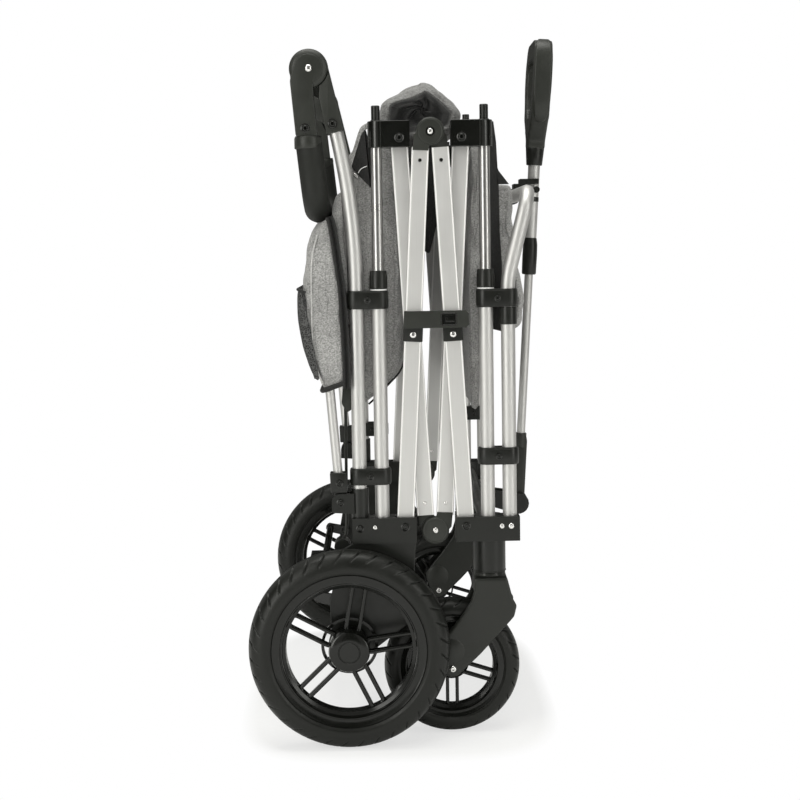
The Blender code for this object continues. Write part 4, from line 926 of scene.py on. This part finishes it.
def wheels(side, sign):
    """A side's rear wheel and caster, with the caster's fork, axle bolts, pads and swivel ring."""
    rear, y = (AXLE_X, sign * REAR_WHEEL_Y, AXLE_Z), sign * CASTER_Y
    tyre(f"rear_tyre_{side}", rear, AXLE_Z, 0.1065, 0.048, 36, 900)
    spokes, reach = mm(9.2, 5.8, 11.5), (0.025, -0.0225, 0.001)
    rim(f"rear_rim_{side}", rear, 0.1062, 0.089, 0.048, 0.029, spokes, 8.0, sign, reach)
    caster = (CASTER_AXLE_X, y, CASTER_AXLE_Z)
    tyre(f"caster_tyre_{side}", caster, CASTER_AXLE_Z, 0.0725, 0.04, 28, 700)
    spokes, reach = mm(7, 4.8, 10.4), (0.0185, -0.0185, 0.0)
    rim(f"caster_rim_{side}", caster, 0.0722, 0.0595, 0.04, 0.0185, spokes, 54.0, sign, reach)
    softened(f"caster_fork_{side}", "housing", 7)
    bolts, pads = [], []
    pad = mm((0, 0), (16.5, 0), (18, -1), (18, -4), (0, -4))
    for way in (-1, 1):
        bolts.append(button_head((CASTER_AXLE_X, y + way * 0.03, CASTER_AXLE_Z), (0, way, 0), 0.0052, 0.6))
        spot = (CASTER_AXLE_X - 0.001, y + way * 0.0306, CASTER_AXLE_Z + 0.026)
        pads.append(revolve(pad, spot, (0, way, 0), 48))
    piece(f"caster_bolt_{side}", bolts, "screw", f"caster_{side}")
    piece(f"caster_pad_{side}", pads, "housing", f"caster_{side}")
    swivel = ring(mm((22.8, 0), (24, 0.4), (24, 1.4), (22.8, 1.8)), (CASTER_X, y, 0.2352), UP, 56)
    piece(f"caster_ring_{side}", [swivel], "housing", f"caster_{side}")


# Push handle
def push_path(y):
    """The side tube's line: straight up, then a wide arc back through 13 degrees."""
    lean = math.radians(13.0)
    radius = 0.218 / math.sin(lean)
    angles = np.linspace(0.0, lean, 18)
    x, z = PUSH_TUBE_X - radius * (1 - np.cos(angles)), 0.65 + radius * np.sin(angles)
    bow = np.stack([x, np.full(18, y), z], axis=1)
    return np.concatenate([straight((PUSH_TUBE_X, y, 0.3265), (PUSH_TUBE_X, y, 0.64), 6), bow])


def push_handle(side, sign):
    """A side's tube of the push handle, and both halves of its folding hinge with their rivet and screws."""
    out, centre = (0, sign, 0), PUSH_HINGE
    tube = sweep(push_path(sign * SIDE_Y), circle(TUBE_R, 40), edge=0.0006)
    piece(f"push_tube_{side}_tube", [tube], "tube", cad=f"push_tube_{side}")
    split_in, split_out = sign * 0.2717, sign * 0.2723
    low, high = sign * 0.258, sign * 0.2866
    foot = mm((-107.8, 857), (-83.5, 862.5))
    inner = np.concatenate([arc(centre, 0.0268, 8, 235, 40), mm((-116, 906)), foot])
    outer = np.concatenate([foot, arc(centre, 0.0272, -8, -58, 12), mm((-117.6, 908))])
    shapes = [plate(inner, low, split_in, 0.001)]
    shapes.append(plate(outer, split_in - sign * 0.0005, high - sign * 0.0026, 0.0016))
    piece(f"push_hinge_base_{side}", shapes, "leaf", "rear_frame")
    foot = mm((-150, 855.6), (-119.6, 855.6), (-123.6, 896), (-124.3, 914))
    face = np.concatenate([arc(centre, 0.0196, -72, 160, 40), mm((-155, 936), (-156.3, 930)), foot])
    inner = np.concatenate([foot[:3], arc(centre, 0.0272, -98, -162, 12)])
    shapes = [plate(eased(face, 0.002, 3), split_out, high, 0.0012)]
    shapes.append(plate(inner, low, split_out + sign * 0.0005, 0.001))
    slope = mm(
        (0, -0.5), (19, -0.6), (21.2, -1.2), (25.2, -3.4), (26.6, -5.2), (27, -7.2), (27, -14.2), (0, -14.2),
    )
    outside = (centre[0], high, centre[1])
    shapes.append(revolve(slope, outside, out, 72))
    piece(f"push_hinge_arm_{side}_arm", shapes, "leaf", cad=f"push_hinge_arm_{side}")
    rivet = revolve(mm((0, 2.4), (3, 2), (5, 0.6), (5.5, -1), (0, -1)), outside, out, 36)
    piece(f"push_hinge_rivet_{side}", [rivet], "screw", "push_handle")
    for x, z, body, half in ((-0.0994, 0.8715, "rear_frame", "base"), (-0.1368, 0.866, "push_handle", "arm")):
        piece(f"push_screw_{half}_{side}", seated((x, high, z), out, 0.0042, 0.45, 1.5), "black_screw", body)


def push_grip():
    """The foam cross bar with its end collars."""
    x, low, top, lean = AXLE_X - 0.0435, 0.7565, 0.8545, 0.01
    path = bent(mirrored([(x, top), (x + lean, low)], SIDE_Y), (0.035, 0.035), 20)
    piece("push_grip_foam", [pipe(path, 0.0185)], "foam", cad="push_grip")
    collar = mm((15, 0), (18.6, 0), (19.3, 1), (19.3, 14), (18, 17.2), (15, 17.2))
    rings = [ring(collar, (x, sign * SIDE_Y, 0.8385), UP) for _, sign in SIDES]
    piece("push_grip_collars", rings, "leaf", "push_handle")


# Front hoop and pull handle
def front_hoop():
    """The front hoop's tube with its sleeves, and the cradle that holds the pull handle."""
    top_x, top_z, wide = HOOP_X + 0.031, 0.776, 0.0158
    corners = mirrored([(HOOP_X, 0.2975), (HOOP_X, 0.655), (top_x, top_z)], SIDE_Y)
    tube = pipe(bent(corners, (0.14, 0.032, 0.032, 0.14), 16), TUBE_R)
    piece("front_hoop_tube", [tube], "tube", cad="front_hoop")
    tube_x = PULL_PIVOT[0] + (0.787 - PULL_PIVOT[1]) * math.tan(PULL_TILT)
    mouth = arc((tube_x, 0.0), 0.0122, -52, -308, 28)
    before = [(top_x + 0.012, -wide), (tube_x + 0.0075, -wide)]
    after = [(tube_x + 0.0075, wide), (top_x + 0.012, wide)]
    hook = rectangle(top_x + 0.002, tube_x - 0.012, -wide, wide)
    shapes = [plate(np.concatenate([before, mouth, after]), 0.795, 0.8035, 0.0006, "XY")]
    shapes.append(plate(hook, 0.778, 0.796, 0.0008, "XY"))
    shapes.append(sweep(straight((top_x, -0.02, top_z), (top_x, 0.02, top_z)), circle(0.0122, 40), UP, 0.001))
    for _, sign in SIDES:
        clip = straight((tube_x + 0.004, sign * 0.0122, 0.7866), (tube_x + 0.004, sign * wide, 0.7866))
        shapes.append(rod(*clip, 0.0052, 0.0008))
    piece("pull_cradle", shapes, "matt", "front_frame")
    sleeve = mm((10.1, 0), (11.8, 0), (12.4, 0.6), (12.4, 23.4), (11.8, 24), (10.1, 24))
    for side, sign in SIDES:
        made = ring(sleeve, (HOOP_X, sign * SIDE_Y, 0.5915), UP, 44)
        piece(f"hoop_sleeve_{side}", [made], "matt", "front_frame")


def on_pull(distance, y=0.0):
    """A point on the pull handle's own line."""
    x, z = distance * math.sin(PULL_TILT), distance * math.cos(PULL_TILT)
    return np.array([PULL_PIVOT[0] + x, y, PULL_PIVOT[1] + z])


def pull_handle():
    """The pull handle: foot fitting, inner and outer tube, lock sleeve, stop ring, collar and loop grip."""
    tube = rod(on_pull(0.095), on_pull(0.52), SLIM_TUBE_R)
    piece("pull_inner_tube", [tube], "tube", cad="pull_lower_tube")
    tongue = mm(
        (10.2, -6), (10.2, 100), (7.8, 110), (-7.8, 110), (-10.2, 100), (-10.2, -6), (-6, -12), (6, -12),
    )
    lean = Matrix.Translation((PULL_PIVOT[0], 0.0, PULL_PIVOT[1])) @ Matrix.Rotation(PULL_TILT, 4, "Y")
    shapes = [moved(plate(eased(tongue, 0.003), -0.0055, 0.0055, 0.0016), lean)]
    shapes.append(rod(on_pull(0.088), on_pull(0.112), 0.009, 0.001))
    piece("pull_foot_fitting", shapes, "leaf", "pull_handle")
    axis = on_pull(1.0) - on_pull(0.0)
    tube = ring(mm((7.2, 0), (9.2, 0), (9.2, 178), (7.2, 178)), on_pull(0.372), axis)
    piece("pull_outer_tube", [tube], "tube", cad="pull_upper_tube")
    sleeve = [
        (7.2, 0), (9.8, 0), (11.2, 2), (11.6, 30), (11.2, 47), (9.8, 56), (8.6, 59), (8.4, 81), (7.2, 83)
    ]
    piece("pull_lock_sleeve", [ring(mm(*sleeve), on_pull(0.364), axis)], "matt", "pull_slider")
    collar = mm((7, 0), (9.2, 0), (9.8, 0.8), (9.8, 6.6), (9.2, 7.4), (7, 7.4))
    piece("pull_stop_ring", [ring(collar, on_pull(0.478), axis, 40)], "matt", "pull_slider")
    softened("pull_grip", "leaf", 12)
    cone = mm((9, 0), (11.8, 0), (12.4, 1), (14.7, 30), (14.2, 31.2), (10, 31.2))
    piece("pull_grip_collar", [ring(cone, on_pull(0.5345), axis)], "matt", "pull_slider")
    bow = mm(
        (47, 597.5), (56.5, 606.5), (62.8, 625), (64.5, 645), (64.6, 670), (64.3, 694.5), (61, 708),
        (52, 718.5), (42, 722.2),
    )
    pads = []
    for _, sign in SIDES:
        path = flowing([on_pull(distance, sign * y) for y, distance in bow], 6, closed=False)
        points, *rest = strip(path, rounded_box(0.0284, 0.0076, 0.0036, 6), ACROSS)
        ends = np.sin(np.linspace(0.0, math.pi, len(path)))[:, None, None] ** 0.35
        middle = path[:, None]
        pads.append((((points.reshape(len(path), -1, 3) - middle) * ends + middle).reshape(-1, 3), *rest))
    piece("pull_grip_pads", pads, "leaf", "pull_slider")


# Basket
def basket():
    """The basket's wire hoop, with its moulded fittings and screws at the lugs."""
    top, lean, (x, z) = 0.715, 0.0762, LUG
    corners = mirrored([(x - lean * 0.036, z + 0.036), (x - lean * (top - z), top)], SIDE_Y)
    path = bent(corners, (0.035, 0.035), 16)
    piece("basket_hoop", [pipe(path, SLIM_TUBE_R)], "tube", cad="basket_frame")
    block = mm((-13.5, 13.5), (10, 13.5), (9, 42), (-14.5, 42)) + LUG
    tongue = np.concatenate([arc(LUG, 0.0085, 180, 360, 16), mm((8.5, 16), (-8.5, 16)) + LUG])
    fittings, heads = [], []
    for _, sign in SIDES:
        fittings.append(plate(eased(block, 0.002), sign * 0.261, sign * 0.283, 0.0014))
        fittings.append(plate(tongue, sign * 0.2662, sign * 0.2778))
        heads += seated((x - 0.001, sign * 0.283, z + 0.0274), (0, sign, 0), 0.0038, 0.45, 1.5)
    piece("basket_fittings", fittings, "matt", "rear_basket")
    piece("basket_screws", heads, "black_screw", "rear_basket")


# Soft goods
def bundle(
    name, cad, outline, half_width, seed, finish="cloth", wrinkle=0.0022, layers=3.0, depth=0.0025,
    lining=None, per=10, arch=0.0,
):
    """Folded cloth: a flowing outline carried across the wagon, its ends closing on a spine in stacked folds.
    Round the outline and across it, ripples move each point along the outline's own normal."""
    outline = flowing(outline, per)
    spine = outline.mean(axis=0)
    count, ease = 84, 0.014
    closing = 1.0 - np.linspace(0.0, 1.0, 22)[1:] ** 1.25
    shares = np.concatenate([closing[::-1], np.ones(count), closing])[:, None]
    near = -half_width - (1 - closing) * 0.003 + depth * np.sin(2 * math.pi * layers * closing) * closing
    y = np.concatenate([near[::-1], np.linspace(-1.0, 1.0, count) * half_width, -near])[:, None]
    rim = np.clip((half_width - np.abs(y)) / ease, 0.0, 1.0)
    drawn_in = 0.006 * (1.0 - np.sqrt(1.0 - (1.0 - rim) ** 2))
    rows = spine + (outline[None] - spine) * shares[:, None]
    ahead = unit(np.roll(outline, -1, axis=0) - np.roll(outline, 1, axis=0))
    normal = ahead[:, ::-1] * np.array([1.0, -1.0]) * turning(outline)
    points = np.stack([rows[..., 0], np.broadcast_to(y, rows.shape[:2]), rows[..., 1]], axis=-1)
    lift = wrinkle * (ripples(points, 0.075, seed) + 0.5 * ripples(points, 0.028, seed + 1)) * shares
    points[..., ::2] += (lift - drawn_in - wrinkle * 1.2)[..., None] * normal
    crumple = np.where(shares < 0.995, wrinkle * 0.9 * ripples(points, 0.032, seed + 2), 0.0)
    points[..., 1] += crumple * np.sign(-y)
    above = np.clip((points[..., 2] - spine[1]) / 0.03, 0.0, 1.0)
    points[..., 2] += arch * (1.0 - (y / half_width) ** 2) * above
    marks = None
    # Inside a share of the ends, the cloth is drawn into a hollow and marked for the finish's near-black
    # second tone.
    if lining is not None:
        marks = np.broadcast_to(np.clip((lining - shares) / 0.06, 0.0, 1.0), rows.shape[:2])
        marks = np.concatenate([marks, marks[:, :1]], axis=1).reshape(-1)
        hollow = np.clip((lining - shares) / lining, 0.0, 1.0)
        angle = np.arctan2(points[..., 2] - spine[1], points[..., 0] - spine[0])
        creased = 1.0 + 0.16 * np.sin(5.0 * angle + 14.0 * hollow)
        points[..., 1] += hollow**0.55 * 0.05 * np.sign(-y) * creased
    body = None if cad else "rear_basket"
    made = piece(name, [grid(points, around=True)], finish, body, cad, 180.0, marks)


def bag_trims():
    """The ribbed zip band, the pale strip beside it, the bound mesh pocket and the bottom trim."""
    rib = mm((5.6, 0.2), (4.6, 2.6), (3, 2.8), (1.7, 0.8), (0.9, -1.4))
    ribs = np.concatenate([mm((-5.6, -3), (5.6, -3)), rib, rib[::-1] * (-1.0, 1.0)])
    line = ((-86.8, 506), (-86.8, 550), (-90.5, 633), (-95, 676.5), (-102, 728), (-106.5, 745))
    bands = [strip(side_line(sign * 0.2838, line, 5), ribs, (0.0, sign, 0.0)) for _, sign in SIDES]
    piece("basket_zip_band", bands, "webbing", "rear_basket")
    panel = mm(
        (-104, 738), (-103, 760), (-98, 774), (-89.5, 780), (-84.5, 770), (-83.5, 730), (-83.2, 660),
        (-83.2, 590), (-83.2, 520), (-88, 515), (-93, 590), (-98, 670),
    )
    bundle("basket_back_panel", None, panel, 0.259, 53, "cloth", 0.0008, 1.0, 0.0004, per=6)
    pocket = mm(
        (-142.5, 641), (-136.5, 616), (-135.2, 588), (-131, 556), (-126, 521), (-132.5, 522.5), (-146.8, 559),
        (-153.7, 593), (-154.6, 618), (-152, 644),
    )
    bundle("basket_mesh_pocket", None, pocket, 0.2852, 47, "mesh", 0.0006, 1.0, 0.0002, per=6)
    edge = bent(mirrored([(-0.1418, 0.64), (-0.1522, 0.6452)], 0.285), (0.005, 0.005), 8)
    piece("basket_pocket_binding", [pipe(edge, 0.0022)], "webbing", "rear_basket")
    seam = (
        (-123.5, 720), (-130, 696.5), (-133, 668.3), (-133.5, 620.5), (-134, 585.7), (-131.8, 556),
        (-128, 533), (-120.5, 512),
    )
    seams = [strip(side_line(sign * 0.2834, seam), circle(0.0012, 10), ACROSS) for _, sign in SIDES]
    piece("basket_side_seams", seams, "seam", "rear_basket")
    edge = bent(mirrored([(-0.09, 0.5135), (-0.1215, 0.5025)], 0.2832), (0.012, 0.012), 8)
    piece("basket_bottom_binding", [pipe(edge, 0.0036)], "webbing", "rear_basket")
    block = eased(mm((-95.5, 482.2), (-87.7, 469), (-80.5, 473.5), (-82, 506), (-93, 506)), 0.003)
    blocks = [plate(block, sign * 0.248, sign * 0.26, 0.0012) for _, sign in SIDES]
    piece("basket_corner_blocks", blocks, "leaf", "rear_basket")


def flaps():
    """The black flaps and straps at the frame's corners, each a doubled web of cloth."""
    fold = eased(mm((-47, 783), (-69, 806.5), (-75, 814), (-60, 859.5), (-54, 866), (-47.5, 840)), 0.003)
    hem_line = ((-50, 871), (-59, 864), (-68, 838), (-76.8, 815), (-74, 803))
    hem_y = np.array([0.2555, 0.2555, 0.2555, 0.2555, 0.253])
    stitch = ((-65.5, 805), (-61, 811), (-53, 814.5))
    band = mm(
        (119.5, 876), (119.5, 583.7), (133.4, 579.9), (134.9, 642.2), (135, 678.7), (132.5, 718.8),
        (131.7, 785.8), (130.2, 811), (128.5, 846.2), (125, 874),
    )
    corner = mm((129, 813), (131.5, 806), (146, 786.8), (129, 786.8))
    hang = eased(mm((12, 848), (15, 790), (20, 700), (33, 690), (46, 740), (52, 848)), 0.006)
    tub_edge = ((-3.5, 580), (-5, 545), (-11, 526), (-29, 506), (-50.1, 485), (-57, 479))
    for side, sign in SIDES:
        made = plate(fold, sign * 0.253, sign * 0.259, 0.002)
        flap = piece(f"rear_corner_flap_{side}", [made], "lining", "rear_frame")
        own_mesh(flap)
        made = strip(side_line(sign * hem_y, hem_line), rounded_box(0.0075, 0.005, 0.0022), ACROSS)
        hem = piece(f"canopy_side_hem_{side}", [made], "cloth", "rear_frame")
        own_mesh(hem)
        made = strip(side_line(sign * 0.2592, stitch), circle(0.0006, 8), ACROSS)
        piece(f"corner_flap_piping_{side}", [made], "ring", "rear_frame")
        made = rod((-0.0712, sign * 0.259, 0.8045), (-0.0665, sign * 0.259, 0.7985), 0.0026)
        piece(f"corner_flap_buckle_{side}", [made], "screw", "rear_frame")
        made = plate(band, sign * 0.2425, sign * 0.25, 0.001)
        low = plate(corner, sign * 0.244, sign * 0.25, 0.0004)
        web = piece(f"front_corner_web_{side}", [made, low], "webbing", "front_frame")
        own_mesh(web)
        made = strip(side_line(sign * 0.244, tub_edge), circle(0.0014, 10), ACROSS)
        piece(f"tub_piping_{side}", [made], "lining", "rear_frame")
        made = plate(hang, sign * 0.238, sign * 0.248, 0.003)
        piece(f"canopy_hem_flap_{side}", [made], "lining", "rear_frame")


def soft_goods():
    """The folded tub, canopy, front roll and front panel, and the basket's bag, with all their trims."""
    flaps()
    axle = (AXLE_X, 0.0)
    tub = mm(
        (10, 500), (26, 478), (40, 484), (62, 505), (80, 526), (85.5, 560), (86.5, 620), (87, 700), (86, 835),
        (60, 844), (20, 842), (6, 800), (5, 650),
    )
    bundle("tub_fabric", "tub_cloth", tub + axle, 0.248, 3)
    canopy = mm(
        (58, 850), (110, 849), (158, 858), (170, 883), (163, 901), (150.5, 914), (137.5, 922.5), (128.5, 927),
        (118, 928), (110, 924.5), (86, 918), (64, 908.5), (56, 895),
    )
    bundle(
        "canopy_bundle", "canopy_cloth", canopy + axle, 0.24, 11, "canopy", 0.0017, 2.0, 0.002, 0.9, 6, 0.018
    )
    roll = mm(
        (184, 466), (192, 478), (197, 560), (197, 700), (197, 830), (186, 840), (178, 760), (176, 600),
        (177, 490),
    )
    bundle("front_roll_fabric", "front_roll", roll + axle, 0.2425, 21)
    panel = mm(
        (203, 594), (222, 583), (250, 584), (257, 615), (250, 690), (244, 740), (242, 782), (222, 788),
        (204, 784), (203, 700),
    )
    bundle("front_panel_fabric", "front_panel", panel + axle, 0.244, 31)
    bag = mm(
        (-118, 503), (-133.5, 538), (-143.5, 572), (-147, 610), (-146.5, 648), (-143, 678), (-139.5, 706),
        (-131.8, 725), (-114.5, 742), (-103, 736), (-96, 690), (-90, 640), (-87, 590), (-86, 545), (-90, 512),
    )
    bundle("basket_pouch", "basket_bag", bag, 0.2815, 41, wrinkle=0.001, layers=1.0, depth=0.0004, arch=0.008)
    bag_trims()


# Feet, axle, latch and the rest of the mouldings
def mouldings():
    """The feet with their screws, the axle, the cross tube, the pedal and the latch."""
    for side, sign in SIDES:
        for node, edge in (("rear_foot", 0.0009), ("front_foot", 0.0009), ("release_button", 0.0006)):
            from_cad(f"{node}_{side}", "matt", edge)
        out, y, high = (0, sign, 0), sign * 0.289, sign * 0.2888
        heads = seated((AXLE_X + 0.082, y, FOOT_Z), out, 0.0044, 0.5, 1.4)
        heads += seated((AXLE_X + 0.018, y, FOOT_Z - 0.001), out, 0.004, 0.5, 1.4)
        heads += seated((LUG[0], sign * 0.284, LUG[1]), out, 0.004, 0.45, 1.4)
        piece(f"rear_foot_screws_{side}", heads, "black_screw", "rear_frame")
        bolt = dome_head((AXLE_X + 0.039, y, FOOT_Z), out, 0.0034)
        piece(f"rear_foot_bolt_{side}", [bolt], "screw", "rear_frame")
        heads = seated((FRONT_PIVOT_X, y, FOOT_Z), out, 0.0044, 0.5, 1.4)
        piece(f"front_foot_screw_{side}", heads, "black_screw", "front_frame")
        spots = ((AXLE_X + 0.2184, 0.0038), (AXLE_X + 0.2315, 0.0044))
        bolts = [dome_head((x, high, FOOT_Z - 0.001), out, radius) for x, radius in spots]
        piece(f"front_foot_bolts_{side}", bolts, "screw", "front_frame")
    from_cad("rear_axle", "matt", 0.0009)
    from_cad("front_cross_tube", "matt", 0.0008)
    from_cad("brake_pedal", "gloss", 0.0008)
    from_cad("latch_arm", "leaf", 0.0009)
    window = np.insert(rounded_box(0.021, 0.0165, 0.0022) + (0.057, 0.6005), 1, -0.2914, axis=1)
    collar = sweep(window, circle(0.0011, 10), closed=True)
    tongue = plate(eased(rectangle(0.0525, 0.0655, 0.5962, 0.6042), 0.0012), -0.2868, -0.2898, 0.0006)
    hook = plate(eased(rectangle(0.0525, 0.055, 0.5962, 0.6042), 0.0008), -0.289, -0.2912, 0.0006)
    piece("latch_catch", [collar, tongue, hook], "gloss", RIDES["latch_arm"])


def cable():
    """The brake cable's sheath, from the boss on the leg plate up the inner side of the push tube."""
    route = mm(
        (-94, -252.5, 290.3), (-92.2, -252.5, 300), (-91.2, -252.5, 320), (-91, -252.5, 360),
        (-90.5, -252.5, 420), (-90, -252.5, 480), (-89.6, -252.5, 535), (-89.4, -253, 555), (-89, -256, 570),
        (-87.8, -261, 581), (-85.5, -266, 589), (-83, -269.5, 593.5),
    )
    piece("brake_cable_sheath", [pipe(flowing(route, 6, closed=False), CABLE_R)], "cable", cad="brake_cable")


def build():
    """Every piece, side by side first and then those that cross the wagon."""
    upper = (0.616, 0.6415)
    for side, sign in SIDES:
        scissors(side, sign)
        post(f"rear_post_{side}", REAR_POST_X, sign)
        post(f"front_post_{side}", FRONT_POST_X, sign)
        slider(f"rear_slider_{side}", REAR_POST_X, REAR_PIVOT_X, sign)
        slider(f"front_slider_{side}", FRONT_POST_X, FRONT_PIVOT_X, sign)
        clamp(f"rear_upper_clamp_{side}", (REAR_POST_X, PUSH_TUBE_X), upper, sign, collar=True)
        clamp(f"rear_lower_clamp_{side}", (REAR_POST_X, PUSH_TUBE_X), (0.368, 0.3915), sign)
        clamp(f"front_upper_clamp_{side}", (FRONT_POST_X, HOOP_X), upper, sign, collar=True)
        clamp(f"front_lower_clamp_{side}", (FRONT_POST_X, HOOP_X), (0.394, 0.418), sign)
        wheels(side, sign)
        push_handle(side, sign)
    push_grip()
    front_hoop()
    pull_handle()
    basket()
    mouldings()
    cable()
    soft_goods()


camera()
studio()
build()
bpy.context.scene.view_settings.view_transform = "Standard"
